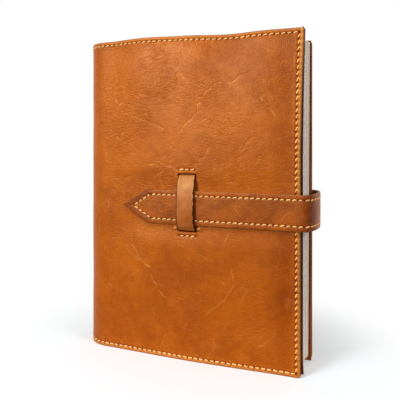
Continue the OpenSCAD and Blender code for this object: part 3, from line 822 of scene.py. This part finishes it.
    def wrapped(height):
        turn = np.clip(s / spine_r, 0, math.pi / 2)
        flat = np.maximum(x_cut, fold_x)
        px = np.where(s < half_arc, spine_r - (spine_r + height) * np.cos(turn), flat)
        py = np.where(s < half_arc, spine_r - (spine_r + height) * np.sin(turn), -height)
        pz = z_cut.copy()
        if front:
            soft = softness(z_cut)
            flare = corner_flare * soft * (flat - panel_x) / (cover_width - panel_x)
            px = px + np.where(s > half_arc, flare - drawn_in(from_fore, z), 0)
            py = py - swell(flat, z_cut)
            tip = np.clip(1 - from_fore / 2.6, 0, 1) * np.clip(1 - from_top / 2.6, 0, 1)
            pz = pz + top_change(flat) * soft + 0.9 * tip
        else:
            py = book_depth - py
            pz = pz - back_slope * np.maximum(0, (flat - fold_x) / (width - fold_x)) * z_cut / cover_height
        return np.stack([px, py, pz], -1)

    band = 6.5
    fine_wish = fine_wish | (from_foot < band) | (from_top < band) | (from_fore < band)
    n = fine_in_coarse
    tiles = fine_wish[:-1, :-1].reshape(columns, n, rows, n)
    fine = tiles.any(axis=(1, 3))
    inner_fine = slit.reshape(columns, n, rows, n).any(axis=(1, 3))
    fine |= inner_fine
    thing = closed_sheet(
        name, wrapped(relief), wrapped(np.full(s.shape, -leather_t)), hide_material,
        {"crease": crease, "hole": hole, "wear_and_sheen": wear_and_sheen, "shade_and_darkening": shade_and_darkening, "bent": bent}, fine, inner_fine, slit, True, edge_round,
        # The cut colour is partly painted shade: full on the front half, whose edges lie in shade, and almost none on
        # the back half
        1.0 if front else 0.05,
    )
    return thing


front_hide = hide_half("front_hide", True, cover_width)
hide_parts("front_cover", "spine_leather")
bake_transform(front_hide)
back_hide = hide_half("back_hide", False, back_width)
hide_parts("back_cover", "spine_leather")
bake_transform(back_hide)


# Pockets: thinner leather inside each cover, sewn to it along foot, fore edge and top and open
# towards the spine, so that the notebook's card cover slides in.
POCKET_DEEP = (0.28, 0.070, 0.005, 1)
POCKET_BODY = (0.42, 0.110, 0.010, 1)
POCKET_PALE = (0.60, 0.240, 0.060, 1)
# Cut colour of the pockets, near black in part as painted shade
POCKET_CUT_AND_SHADE = (0.014, 0.005, 0.002, 1)
pocket_width = 80.0
pocket_t = 1.4
pocket_room = 1.08
seam_room = 0.05
pocket_round = 0.35
pocket_material = leather_material("pocket leather", POCKET_DEEP, POCKET_BODY, POCKET_PALE, POCKET_CUT_AND_SHADE,
                                   rough=0.55)


def pocket_stand(inside):
    before = np.clip(inside / stitch_inset, 0, 1)
    after = np.clip((inside - stitch_inset) / 0.65, 0, 1)
    lift = np.where(inside < stitch_inset, 1 - ease(before), ease(after))
    return seam_room + (pocket_room - seam_room) * lift


def pocket(name, body, front, width, high):
    start = width - pocket_width
    columns, rows = 40, 108
    n = fine_in_coarse
    share_x = np.linspace(0, 1, columns * n + 1)
    share_z = np.linspace(0, 1, rows * n + 1)
    x = (start + pocket_round + (pocket_width - 2 * pocket_round) * share_x)[:, None]
    z = (pocket_round + (high - 2 * pocket_round) * share_z)[None, :]
    x, z = np.broadcast_arrays(x, z)
    inside = np.minimum(np.minimum(width - x, z), high - z)
    stand = leather_t + pocket_stand(np.maximum(inside, 0))
    # The lower fore corner hangs a little open on the front cover
    sag = 0.0
    if front:
        sag = 3.3 * np.clip(1 - (width - x) / 14, 0, 1) ** 1.5 * np.clip(1 - z / 16, 0, 1) ** 1.5
    # Where the corner hangs open its edge is left without the painted shade, as it catches light
    unshaded_edge = np.clip(sag / 0.6, 0, 1) * np.ones(x.shape)
    soft = softness(z)
    if front:
        px = x + corner_flare * soft * (x - start) / pocket_width
        pz = z + top_change(x) * soft
    else:
        px = x + 0 * z
        pz = z + back_slope * (width - x) / (width - fold_x) * z / high

    def laid(depth):
        py = stand + sag + depth
        return np.stack([px, py - swell(x, z) if front else book_depth - py, pz], -1)

    no_hole = np.zeros((columns * n, rows * n), bool)
    tiles = (inside[:-1, :-1] < 4.6).reshape(columns, n, rows, n)
    fine = tiles.any(axis=(1, 3)) & (np.arange(columns)[:, None] > 0)
    coarse = np.zeros((columns, rows), bool)
    thing = closed_sheet(
        name, laid(pocket_t), laid(np.zeros(x.shape)), pocket_material, {"unshaded_edge": unshaded_edge}, fine, coarse, no_hole,
        # The cut colour is partly painted shade: full on the front pocket's edge, which lies in the dark gap by the
        # pages, and little on the back's
        False, pocket_round, 1.0 if front else 0.2,
    )
    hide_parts(name)
    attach(thing, body)
    return thing


pocket("front_pocket", "front", True, cover_width - 0.1, cover_height - 0.2)
pocket("back_pocket", "back", False, back_width - 0.1, cover_height - back_slope - 0.2)


# Card cover: the notebook's own black card, glued round the pages and tucked into the pockets.
# It bends with the covers, so each half is one sheet from the spine's middle to its end.
card_front = 2.5
card_t = 0.5
card_high = page_foot + page_height + 0.2
card_width = cover_width - 4.5

card_material = bpy.data.materials.new("black card")
card_material.use_nodes = True
tree = card_material.node_tree
tree.nodes.clear()
where = add_node(tree, "ShaderNodeTexCoord").outputs["Object"]
card_noise = add_node(tree, "ShaderNodeTexNoise", {"Vector": where, "Scale": 1500.0, "Detail": 3.0}).outputs[0]
card_tone = mix_colour(tree, card_noise, (0.010, 0.010, 0.011, 1), (0.032, 0.031, 0.031, 1))
card_bump = add_node(tree, "ShaderNodeBump", {"Height": card_noise, "Distance": 0.00008, "Strength": 0.6})
card_skin = add_node(tree, "ShaderNodeBsdfPrincipled", {
    "Base Color": card_tone, "Normal": card_bump.outputs[0],
    "Roughness": ramp_between(tree, card_noise, 0.3, 0.7, 0.55, 0.72),
})
card_skin.inputs["Specular IOR Level"].default_value = 0.2
add_node(tree, "ShaderNodeOutputMaterial", {0: card_skin.outputs[0]})


def card_half(name, front, drop):
    radius = spine_r - card_front
    arc = math.pi * radius / 2
    run = arc + card_width - fold_x
    columns, rows = 96, 40
    n = fine_in_coarse
    s = np.linspace(0, run, columns * n + 1)[:, None]
    z = np.linspace(page_foot, card_high, rows * n + 1)[None, :]
    s, z = np.broadcast_arrays(s, z)
    turn = np.clip(s / radius, 0, math.pi / 2)
    flat = fold_x + s - arc

    def laid(depth):
        px = np.where(s < arc, spine_r - (radius - depth) * np.cos(turn), flat)
        py = np.where(s < arc, spine_r - (radius - depth) * np.sin(turn), card_front + depth)
        slope = np.maximum(0, (flat - fold_x) / (card_width - fold_x)) * (z - page_foot) / page_height
        py = py - swell(np.maximum(flat, fold_x), z) if front else book_depth - py
        return np.stack([px, py, z - drop * slope], -1)

    nowhere = np.zeros((columns, rows), bool)
    thing = closed_sheet(
        name, laid(0.0), laid(card_t), card_material, {}, nowhere, nowhere,
        np.zeros((columns * n, rows * n), bool), True, 0.0,
    )
    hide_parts(name, "spine_card")
    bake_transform(thing)


card_half("front_card", True, 0.0)
card_half("back_card", False, back_slope * 0.7)


# Strap: two strips of leather sewn face to face, cut to a point. It is sewn to the back cover,
# bends round the fore edge and lies across the front cover under the keeper.
STRAP_DEEP = (0.23, 0.045, 0.004, 1)
STRAP_BODY = (0.38, 0.085, 0.007, 1)
STRAP_PALE = (0.58, 0.210, 0.050, 1)
STRAP_CUT = (0.50, 0.170, 0.040, 1)
strap_layer = 1.15
strap_off = 0.4
strap_mid = strap_off + strap_layer
strap_inset = 3.1
strap_point = 18.6
strap_tip = cover_width - 123.4
strap_end = cover_width - 62.0
bend_x = cover_width + 1.2
bend_a = 8.0 - 1.2 - strap_layer
bend_b = book_depth / 2 + strap_mid
point_turn = math.atan2(strap_width / 2, strap_point)
point_inset = 4.4
row_tip = point_inset / math.sin(point_turn)
row_corner = row_tip + (strap_width / 2 - strap_inset) / math.tan(point_turn)
strap_material = leather_material("strap leather", STRAP_DEEP, STRAP_BODY, STRAP_PALE, STRAP_CUT,
                                  rough=0.40, cloud=30.0, vein=50.0, wrinkle=0.6, vein_share=0.3)
lining_material = leather_material("strap lining", (0.16, 0.055, 0.014, 1), (0.26, 0.095, 0.026, 1),
                                   STRAP_PALE, (0.045, 0.016, 0.006, 1), rough=0.6)

turns = np.radians(np.linspace(-90, 90, 181))
strap_front = np.linspace(strap_tip, bend_x - 1, 80)
strap_corners = np.concatenate([
    np.stack([strap_front, -strap_mid - front_out(strap_front)], -1),
    np.stack([bend_x + bend_a * np.cos(turns), book_depth / 2 + bend_b * np.sin(turns)], -1),
    [[strap_end, book_depth + strap_mid]],
])
corner_at = np.append(0, np.cumsum(np.linalg.norm(np.diff(strap_corners, axis=0), axis=1)))
strap_length = corner_at[-1]


def strap_spot(s):
    """Place in plan at s along the strap's middle, and the direction out of its face."""
    x = np.interp(s, corner_at, strap_corners[:, 0])
    y = np.interp(s, corner_at, strap_corners[:, 1])
    step = 0.4
    dx = np.interp(s + step, corner_at, strap_corners[:, 0]) - np.interp(s - step, corner_at, strap_corners[:, 0])
    dy = np.interp(s + step, corner_at, strap_corners[:, 1]) - np.interp(s - step, corner_at, strap_corners[:, 1])
    size = np.hypot(dx, dy)
    return x, y, dy / size, -dx / size


def strap_rows():
    """Each stitch of the strap as s along it, h above its middle, and its turn."""
    half = strap_width / 2 - strap_inset
    room = thread_d / 2
    start = row_corner + room
    rows = []
    for side in (-1, 1):
        for s in row_places(strap_length - start - strap_inset):
            rows.append((start + s, side * half, 0.0))
        for s in row_places(half / math.sin(point_turn) - 3 * room):
            d = s + 2 * room
            rows.append((row_tip + d * math.cos(point_turn), side * d * math.sin(point_turn), side * point_turn))
    return rows


def strap_band(name, low, high, material, outside):
    """One layer of the strap, between two offsets from its middle line."""
    s = np.concatenate([[0.08, 0.25, 0.5], np.arange(0.9, strap_length - 0.6, 0.55),
                        strap_length - np.array([0.45, 0.25, 0.1, 0.0])])
    half = np.minimum(strap_width / 2, s * strap_width / 2 / strap_point)
    slant = np.where(s < strap_point, math.cos(point_turn), 1.0)
    rounding = 0.38
    near_edge = np.array([0, 0.06, 0.17, 0.38, 0.7, 1.1, 1.6, 2.1, 2.5, 2.8, 3.1, 3.4, 3.7, 4.1, 4.7])
    middle = np.linspace(5.4, strap_width / 2, 8)
    inside = np.concatenate([near_edge, middle])
    q = 1 - inside / (strap_width / 2)
    q = np.concatenate([-q, q[-2::-1]])
    back_inside = np.array([0, 0.06, 0.17, 0.38, 1.2, 4, strap_width / 2])
    qb = 1 - back_inside / (strap_width / 2)
    qb = np.concatenate([qb, -qb[-2::-1]])

    x, y, nx, ny = strap_spot(s)
    z_top = half[:, None] * q[None, :]
    d_top = (half[:, None] - np.abs(z_top)) * slant[:, None]
    z_low = half[:, None] * qb[None, :]
    d_low = (half[:, None] - np.abs(z_low)) * slant[:, None]
    at_end = np.clip(strap_length - s, 0, rounding)[:, None]

    def rounded(d):
        d = np.minimum(np.clip(d, 0, rounding), at_end)
        return rounding - np.sqrt(rounding ** 2 - (rounding - d) ** 2)

    relief = np.zeros(z_top.shape)
    holes = np.zeros(z_top.shape)
    margin = np.zeros(z_top.shape)
    if outside:
        row_at = np.where(s < row_corner, point_inset, strap_inset)[:, None]
        relief = -0.17 * np.exp(-((d_top - row_at) / 0.55) ** 2)
        relief += 0.10 * np.exp(-((d_top - 1.7) / 0.8) ** 2)
        relief += 0.10 * np.clip((d_top - 3.5) / 6, 0, 1)
        relief += 0.05 * slow_waves(s[:, None], z_top, 21, 24)
        # Each needle hole is dimpled, and painted dark as shade
        for along, h, turn in strap_rows():
            for end in (-1, 1):
                reach = end * stitch_pitch / 2
                cs, ch = along + reach * math.cos(turn), h + reach * math.sin(turn)
                near = np.abs(s - cs) < 3
                spot = np.exp(-((s[near, None] - cs) ** 2 + (z_top[near] - ch) ** 2) / 0.58 ** 2)
                holes[near] = np.maximum(holes[near], spot)
        relief -= 0.28 * holes
        margin = 0.45 * np.clip((row_at - 0.4 - d_top) / 0.6, 0, 1) * np.clip((row_corner + 2 - s[:, None]) / 4, 0, 1)
    up = high - rounded(d_top) + relief * np.clip(d_top / 0.8, 0, 1)
    down = low + rounded(d_low)
    offsets = np.concatenate([up, down], 1)
    heights = np.concatenate([z_top, z_low], 1)
    points = np.stack([
        x[:, None] + nx[:, None] * offsets, y[:, None] + ny[:, None] * offsets, strap_z + heights,
    ], -1)
    count, around = offsets.shape
    faces = []
    for i in range(count - 1):
        for j in range(around):
            k = (j + 1) % around
            faces.append((i * around + j, i * around + k, (i + 1) * around + k, (i + 1) * around + j))
    faces.append(tuple(range(around))[::-1])
    faces.append(tuple((count - 1) * around + j for j in range(around)))
    none = np.zeros(z_low.shape)
    edge_mark = np.concatenate([np.clip(1 - d_top / 0.35, 0, 1), np.clip(1 - d_low / 0.5, 0, 1)], 1)
    hole_shade_mark = np.concatenate([holes, none], 1)
    # Painted shade across the bend round the fore edge. The point's margin outside its stitches is also made darker
    bend_shade = 0.6 * np.exp(-((s - corner_at[120]) / 6) ** 2)[:, None]
    shade_and_margin = bend_shade + np.concatenate([margin, none], 1)
    thing = plain_mesh(name, points.reshape(-1, 3), faces, material, {
        "edge": edge_mark.ravel(), "hole": hole_shade_mark.ravel(),
        "shade_and_darkening": shade_and_margin.ravel(),
    })
    return thing


strap_face = strap_band("strap_face", 0.0, strap_layer, strap_material, True)
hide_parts("strap_face")
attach(strap_face, "back")
strap_lining = strap_band("strap_lining", -strap_layer, -0.02, lining_material, False)
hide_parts("strap_lining")
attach(strap_lining, "back")


# Keeper: a narrow strip over the strap. Its ends are skived thin, pushed through the two slits
# and held behind them by the bars of stitches.
KEEPER_DEEP = (0.30, 0.075, 0.010, 1)
KEEPER_BODY = (0.46, 0.130, 0.022, 1)
KEEPER_PALE = (0.84, 0.420, 0.160, 1)
# Cut colour of the keeper, near black in part as painted shadow
KEEPER_CUT_AND_SHADOW = (0.030, 0.010, 0.004, 1)
tab_y = leather_t + 0.25
tab_t = 0.3
neck = 0.45
keeper_turn = math.atan(float(front_out(keeper_x - 0.5) - front_out(keeper_x + 0.5)))
shoulder = 0.6
tab_length = 8.0
strap_high = strap_z + strap_width / 2
strap_low = strap_z - strap_width / 2
keeper_y = strap_off + 2 * strap_layer + 0.3 + 0.1 + keeper_t / 2
keeper_material = leather_material("keeper leather", KEEPER_DEEP, KEEPER_BODY, KEEPER_PALE, KEEPER_CUT_AND_SHADOW,
                                   rough=0.42, cloud=60.0)
keeper_path = np.array([
    (slit_high + tab_length, tab_y, tab_t / 2),
    (slit_high + 0.8, tab_y, tab_t / 2),
    (slit_high + 0.1, leather_t * 0.6, neck),
    (slit_high - 0.2, 0.1, neck),
    (slit_high - 1.6, -1.0, shoulder),
    (strap_high + 1.4, -keeper_y + 0.25, keeper_t / 2),
    (strap_high - 0.8, -keeper_y, keeper_t / 2),
    (strap_low + 0.8, -keeper_y, keeper_t / 2),
    (strap_low - 0.9, -keeper_y + shoulder, keeper_t / 2),
    (slit_low + 0.6, -0.9, shoulder),
    (slit_low + 0.1, 0.2, neck),
    (slit_low - 0.1, leather_t * 0.6, neck),
    (slit_low - 0.8, tab_y, tab_t / 2),
    (slit_low - tab_length, tab_y, tab_t / 2),
])


def through_points(knots, step):
    """A smooth line through the knots that doesn't swing out between them."""
    at = np.append(0, np.cumsum(np.linalg.norm(np.diff(knots[:, :2], axis=0), axis=1)))
    slopes = np.gradient(knots, at, axis=0)
    fine_at = np.arange(0, at[-1], step)
    k = np.clip(np.searchsorted(at, fine_at, side="right") - 1, 0, len(at) - 2)
    span = (at[k + 1] - at[k])[:, None]
    t = ((fine_at - at[k])[:, None]) / span
    h00, h10 = 2 * t ** 3 - 3 * t ** 2 + 1, t ** 3 - 2 * t ** 2 + t
    h01, h11 = -2 * t ** 3 + 3 * t ** 2, t ** 3 - t ** 2
    return h00 * knots[k] + h10 * span * slopes[k] + h01 * knots[k + 1] + h11 * span * slopes[k + 1]


def keeper_loop():
    line = through_points(keeper_path, 0.35)
    along = np.gradient(line[:, :2], axis=0)
    along /= np.linalg.norm(along, axis=1)[:, None]
    # In side view the outward side of the strip is towards the reader, which is minus Y
    out_z, out_y = -along[:, 1], along[:, 0]
    turned = np.where(out_y > 0, -1.0, 1.0)
    flip = turned[len(turned) // 2]
    out_z, out_y = out_z * flip, out_y * flip
    half = keeper_width / 2
    rounding = np.minimum(0.36, line[:, 2] * 0.9)[:, None]
    inside = np.array([0, 0.05, 0.16, 0.36, 0.55, 0.75, 0.95, 1.4, 2.2, 3.2, 4.4, half])
    q = np.concatenate([-(half - inside), (half - inside)[-2::-1]])[None, :]
    d = half - np.abs(q)
    d_round = np.minimum(d, rounding)
    drop = rounding - np.sqrt(np.maximum(0, rounding ** 2 - (rounding - d_round) ** 2))
    ripple = 0.04 * slow_waves(q, line[:, :1], 31, 9)
    up = line[:, 2:3] - drop + ripple * np.clip(d / 1.0, 0, 1) + 0.10 * np.clip(d / half, 0, 1)
    down = -line[:, 2:3] + drop
    offsets = np.concatenate([up, down[:, ::-1]], 1)
    sides = np.concatenate([q, q[:, ::-1]], 1)
    sides = np.broadcast_to(sides, offsets.shape)
    ragged = 0.11 * slow_waves(0 * sides, line[:, :1], 61, 2.6) * np.sign(sides)
    wobble = ragged * np.clip(1 - (half - np.abs(sides)) / 1.2, 0, 1)
    u = sides + wobble
    v = line[:, 1:2] + out_y[:, None] * offsets
    points = np.stack([
        keeper_x + u * math.cos(keeper_turn) - v * math.sin(keeper_turn),
        u * math.sin(keeper_turn) + v * math.cos(keeper_turn) - front_out(keeper_x),
        line[:, :1] + out_z[:, None] * offsets,
    ], -1)
    count, around = offsets.shape
    faces = []
    for i in range(count - 1):
        for j in range(around):
            k = (j + 1) % around
            faces.append((i * around + j, i * around + k, (i + 1) * around + k, (i + 1) * around + j))
    faces.append(tuple(range(around))[::-1])
    faces.append(tuple((count - 1) * around + j for j in range(around)))
    height = np.broadcast_to(line[:, :1], offsets.shape)
    # Painted sheen: the keeper is paler towards its top, where it catches the light
    top_sheen = 0.42 * np.exp(-((height - slit_high + 5) / 8) ** 2)
    top_sheen = top_sheen * (0.75 + 0.25 * slow_waves(sides, height, 41, 6))
    edge_in = np.concatenate([d, d[:, ::-1]], 1)
    # Painted shadow: the dark edge colour reaches further in, raggedly, along the keeper's right side, where the
    # shadow under it falls
    edge_shadow_width = 0.45 + 0.35 * slow_waves(sides, height, 47, 3.0) * (sides > 0)
    edge = np.clip((edge_shadow_width + 0.25 - edge_in) / 0.2, 0, 1)
    thing = plain_mesh("keeper", points.reshape(-1, 3), faces, keeper_material, {
        "edge": edge.ravel(), "wear_and_sheen": np.clip(top_sheen, 0, 1).ravel(),
    })
    return thing


keeper = keeper_loop()
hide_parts("keeper_loop")
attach(keeper, "front")


# Thread: waxed two-ply linen, sewn by hand through pricked holes. Every stitch is a short bent
# run of thread that dips into a hole at both ends and lies a little aslant.
THREAD_LIGHT = (0.98, 0.52, 0.13, 1)
THREAD_SHADE = (0.58, 0.20, 0.03, 1)
thread_proud = 0.30
slant = math.radians(14)
foot_turn, fore_turn = math.radians(-18), math.radians(48)
ply_turns = 2.4

thread_material = bpy.data.materials.new("waxed thread")
thread_material.use_nodes = True
tree = thread_material.node_tree
tree.nodes.clear()
round_at = add_node(tree, "ShaderNodeAttribute", attribute_name="round").outputs["Vector"]
run_at = add_node(tree, "ShaderNodeAttribute", attribute_name="run").outputs["Fac"]
parts = add_node(tree, "ShaderNodeSeparateXYZ", {0: round_at})
angle = math_node(tree, "MULTIPLY", run_at, 2 * math.pi * ply_turns / 2)
ply = math_node(tree, "MULTIPLY_ADD", parts.outputs[0], math_node(tree, "COSINE", angle),
                math_node(tree, "MULTIPLY", parts.outputs[1], math_node(tree, "SINE", angle)))
ply = math_node(tree, "MULTIPLY", ply, ply)
where = add_node(tree, "ShaderNodeTexCoord").outputs["Object"]
dirt = add_node(tree, "ShaderNodeTexNoise", {"Vector": where, "Scale": 160.0, "Detail": 2.0}).outputs[0]
fuzz = add_node(tree, "ShaderNodeTexNoise", {"Vector": where, "Scale": 5200.0, "Detail": 2.0}).outputs[0]
lit = math_node(tree, "MULTIPLY_ADD", ply, 0.6, math_node(tree, "MULTIPLY", dirt, 0.8))
thread_tone = mix_colour(tree, ramp_between(tree, lit, 0.25, 0.75), THREAD_SHADE, THREAD_LIGHT)
# Painted shade: each stitch darkens towards its ends, where it dips into its holes
off_middle = math_node(tree, "ABSOLUTE", math_node(tree, "SUBTRACT", run_at, 0.5))
thread_tone = mix_colour(tree, ramp_between(tree, off_middle, 0.26, 0.46), thread_tone, (0.05, 0.014, 0.003, 1))
ply_height = math_node(tree, "MULTIPLY_ADD", fuzz, 0.25, ply)
thread_bump = add_node(tree, "ShaderNodeBump", {"Height": ply_height, "Distance": 0.00012, "Strength": 0.8})
thread_skin = add_node(tree, "ShaderNodeBsdfPrincipled", {
    "Base Color": thread_tone, "Roughness": ramp_between(tree, fuzz, 0.3, 0.7, 0.42, 0.6),
    "Normal": thread_bump.outputs[0],
})
add_node(tree, "ShaderNodeOutputMaterial", {0: thread_skin.outputs[0]})


def stitching_tree():
    """Geometry nodes that lay one stitch on each guide point, along its own two directions."""
    tree = bpy.data.node_groups.new("stitching", "GeometryNodeTree")
    face = tree.interface
    face.new_socket("Guides", in_out="INPUT", socket_type="NodeSocketGeometry")
    for label in ("Stitch length", "Thread thickness", "Proud", "Dip", "Slant", "Unevenness"):
        face.new_socket(label, in_out="INPUT", socket_type="NodeSocketFloat")
    face.new_socket("Seed", in_out="INPUT", socket_type="NodeSocketInt")
    face.new_socket("Thread", in_out="INPUT", socket_type="NodeSocketMaterial")
    face.new_socket("Sewing", in_out="OUTPUT", socket_type="NodeSocketGeometry")
    given = add_node(tree, "NodeGroupInput").outputs
    half = math_node(tree, "MULTIPLY", given["Stitch length"], 0.5)
    radius = math_node(tree, "MULTIPLY", given["Thread thickness"], 0.5)
    crown = math_node(tree, "SUBTRACT", given["Proud"], radius)
    lifted = math_node(tree, "MULTIPLY_ADD", crown, 2.0, given["Dip"])
    xyz = "ShaderNodeCombineXYZ"
    down = math_node(tree, "MULTIPLY", given["Dip"], -1.0)
    start = add_node(tree, xyz, {0: math_node(tree, "MULTIPLY", half, -1.0), 2: down}).outputs[0]
    middle = add_node(tree, xyz, {2: lifted}).outputs[0]
    end = add_node(tree, xyz, {0: half, 2: down}).outputs[0]
    rail = add_node(tree, "GeometryNodeCurveQuadraticBezier", {
        "Resolution": 7, "Start": start, "Middle": middle, "End": end,
    }).outputs[0]
    rail = add_node(tree, "GeometryNodeStoreNamedAttribute", {
        "Geometry": rail, "Name": "run",
        "Value": add_node(tree, "GeometryNodeSplineParameter").outputs["Factor"],
    }, data_type="FLOAT", domain="POINT").outputs[0]
    ring = add_node(tree, "GeometryNodeCurvePrimitiveCircle", {"Resolution": 7, "Radius": radius}).outputs[0]
    outward = add_node(tree, "ShaderNodeVectorMath", {0: add_node(tree, "GeometryNodeInputPosition").outputs[0]},
                       operation="NORMALIZE").outputs[0]
    ring = add_node(tree, "GeometryNodeStoreNamedAttribute", {
        "Geometry": ring, "Name": "round", "Value": outward,
    }, data_type="FLOAT_VECTOR", domain="POINT").outputs[0]
    stitch = add_node(tree, "GeometryNodeCurveToMesh", {
        "Curve": rail, "Profile Curve": ring, "Fill Caps": True,
    }).outputs[0]
    stitch = add_node(tree, "GeometryNodeSetShadeSmooth", {"Geometry": stitch}).outputs[0]

    def read_vector(label):
        return add_node(tree, "GeometryNodeInputNamedAttribute", {"Name": label},
                        data_type="FLOAT_VECTOR").outputs[0]

    lay = add_node(tree, "FunctionNodeAlignRotationToVector", {"Vector": read_vector("along")}, axis="X").outputs[0]
    lay = add_node(tree, "FunctionNodeAlignRotationToVector", {
        "Rotation": lay, "Vector": read_vector("out"),
    }, axis="Z", pivot_axis="X").outputs[0]
    low = math_node(tree, "MULTIPLY", given["Unevenness"], -1.0)
    sway = add_node(tree, "FunctionNodeRandomValue", {
        "Min": low, "Max": given["Unevenness"], "Seed": given["Seed"],
    }, data_type="FLOAT")
    sway_turn = math_node(tree, "ADD", sway.outputs["Value"], given["Slant"])
    twist = add_node(tree, "FunctionNodeEulerToRotation", {
        0: add_node(tree, xyz, {2: sway_turn}).outputs[0],
    }).outputs[0]
    lay = add_node(tree, "FunctionNodeRotateRotation", {
        "Rotation": lay, "Rotate By": twist,
    }, rotation_space="LOCAL").outputs[0]
    size = add_node(tree, "FunctionNodeRandomValue", {
        "Min": math_node(tree, "ADD", low, 1.0), "Max": math_node(tree, "ADD", given["Unevenness"], 1.0),
        "Seed": math_node(tree, "ADD", given["Seed"], 1),
    }, data_type="FLOAT")
    sewn = add_node(tree, "GeometryNodeInstanceOnPoints", {
        "Points": given["Guides"], "Instance": stitch, "Rotation": lay, "Scale": size.outputs["Value"],
    }).outputs[0]
    sewn = add_node(tree, "GeometryNodeRealizeInstances", {"Geometry": sewn}).outputs[0]
    sewn = add_node(tree, "GeometryNodeSetMaterial", {"Geometry": sewn, "Material": given["Thread"]}).outputs[0]
    add_node(tree, "NodeGroupOutput", {"Sewing": sewn})
    return tree


stitching = stitching_tree()


def sew(name, guides, seed):
    """One mesh with a stitch on every guide, each given as place, along and out."""
    places = in_frame([g[0] for g in guides])
    mesh = bpy.data.meshes.new(name)
    mesh.from_pydata(places.tolist(), [], [])
    for label, k in (("along", 1), ("out", 2)):
        layer = mesh.attributes.new(label, "FLOAT_VECTOR", "POINT")
        layer.data.foreach_set("vector", np.array([g[k] for g in guides], np.float32).ravel())
    maker = bpy.data.objects.new(name + "_guides", mesh)
    bpy.context.collection.objects.link(maker)
    modifier = maker.modifiers.new("stitching", "NODES")
    modifier.node_group = stitching
    wanted = {
        "Stitch length": 2.9 * MM, "Thread thickness": 1.0 * MM, "Proud": 0.42 * MM,
        "Dip": 0.75 * MM, "Slant": slant, "Unevenness": 0.12, "Seed": seed, "Thread": thread_material,
    }
    for item in stitching.interface.items_tree:
        if item.in_out == "INPUT" and item.name in wanted:
            modifier[item.identifier] = wanted[item.name]
    bpy.context.view_layer.update()
    ready = maker.evaluated_get(bpy.context.evaluated_depsgraph_get())
    sewn = bpy.data.meshes.new_from_object(ready)
    sewn.name = name
    bpy.data.objects.remove(maker)
    thing = bpy.data.objects.new(name, sewn)
    bpy.context.collection.objects.link(thing)
    return thing


def hide_guides(front, width):
    """Guides along one half of the hide, in the rows that its needle holes were made for."""
    guides = []
    side = 1 if front else -1
    top_drop = 0 if front else back_slope

    def flat_guide(x, z, along):
        if front:
            soft = softness(z)
            y = -float(swell(x, z) + plump(x, z))
            lean = float(swell(x + 0.5, z) - swell(x - 0.5, z))
            flare = corner_flare * float(soft) * (x - panel_x) / (cover_width - panel_x)
            x = x + flare - float(drawn_in(cover_width - x, z))
            z = z + float(top_change(x) * soft)
            guides.append(((x, y, z), (along[0], -lean * along[0], along[1]), (-lean, -1, 0)))
        else:
            z = z - back_slope * (x - fold_x) / (width - fold_x) * z / cover_height
            guides.append(((x, book_depth, z), (along[0], 0, along[1]), (0, 1, 0)))

    for x in panel_x + row_places(width - fore_row - row_gap - panel_x):
        flat_guide(x, foot_row, (math.cos(foot_turn), math.sin(foot_turn)))
        flat_guide(x, cover_height - top_row, (1, 0))
    for s in row_places(cover_height - foot_row - top_row - 2 * row_gap - top_drop):
        z = foot_row + row_gap + s
        z = z if front else z * cover_height / (cover_height - back_slope)
        flat_guide(width - fore_row, z, (math.cos(fore_turn), math.sin(fore_turn)))
    for s in row_places(2 * half_arc) - half_arc:
        if s > 0.5 or (front and s > -0.5):
            turn = s / spine_r
            nx, ny = -math.cos(turn), -math.sin(turn)
            for z in (foot_row, cover_height - top_row):
                place = (spine_r + spine_r * nx, spine_y + side * spine_r * ny, z)
                guides.append((place, (-ny, side * nx, 0), (nx, side * ny, 0)))
    return guides


keeper_guides = [
    (
        (
            keeper_x + k * stitch_pitch,
            -0.08 - float(swell(keeper_x + k * stitch_pitch, 0) + plump(keeper_x + k * stitch_pitch, z)), z,
        ),
        (math.cos(keeper_turn), math.sin(keeper_turn), 0), (math.sin(keeper_turn), -math.cos(keeper_turn), 0),
    )
    for z in (slit_high + bar_offset, slit_low - bar_offset) for k in (-1, 0, 1)
]
front_thread = sew("front_thread", hide_guides(True, cover_width) + keeper_guides, 3)
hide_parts("front_edge_thread", "keeper_thread", "spine_thread")
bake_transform(front_thread)
back_thread = sew("back_thread", hide_guides(False, back_width), 8)
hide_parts("back_edge_thread", "spine_thread")
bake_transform(back_thread)


def strap_guide(s, h, turn):
    x, y, nx, ny = (float(v) for v in strap_spot(s))
    out = strap_layer - 0.05
    place = (x + nx * out, y + ny * out, strap_z + h)
    ahead = math.cos(turn)
    return place, (-ny * ahead, nx * ahead, math.sin(turn)), (nx, ny, 0)


strap_thread = sew("strap_thread", [strap_guide(*row) for row in strap_rows()], 12)
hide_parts("strap_thread")
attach(strap_thread, "back")
anchor_rows = [
    (strap_length - back, k * stitch_pitch, math.pi / 2)
    for back in (strap_inset, 62.0 - 12.4) for k in (-1, 0, 1)
]
anchor_thread = sew("anchor_thread", [strap_guide(*row) for row in anchor_rows], 15)
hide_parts("strap_anchor_thread")
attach(anchor_thread, "back")
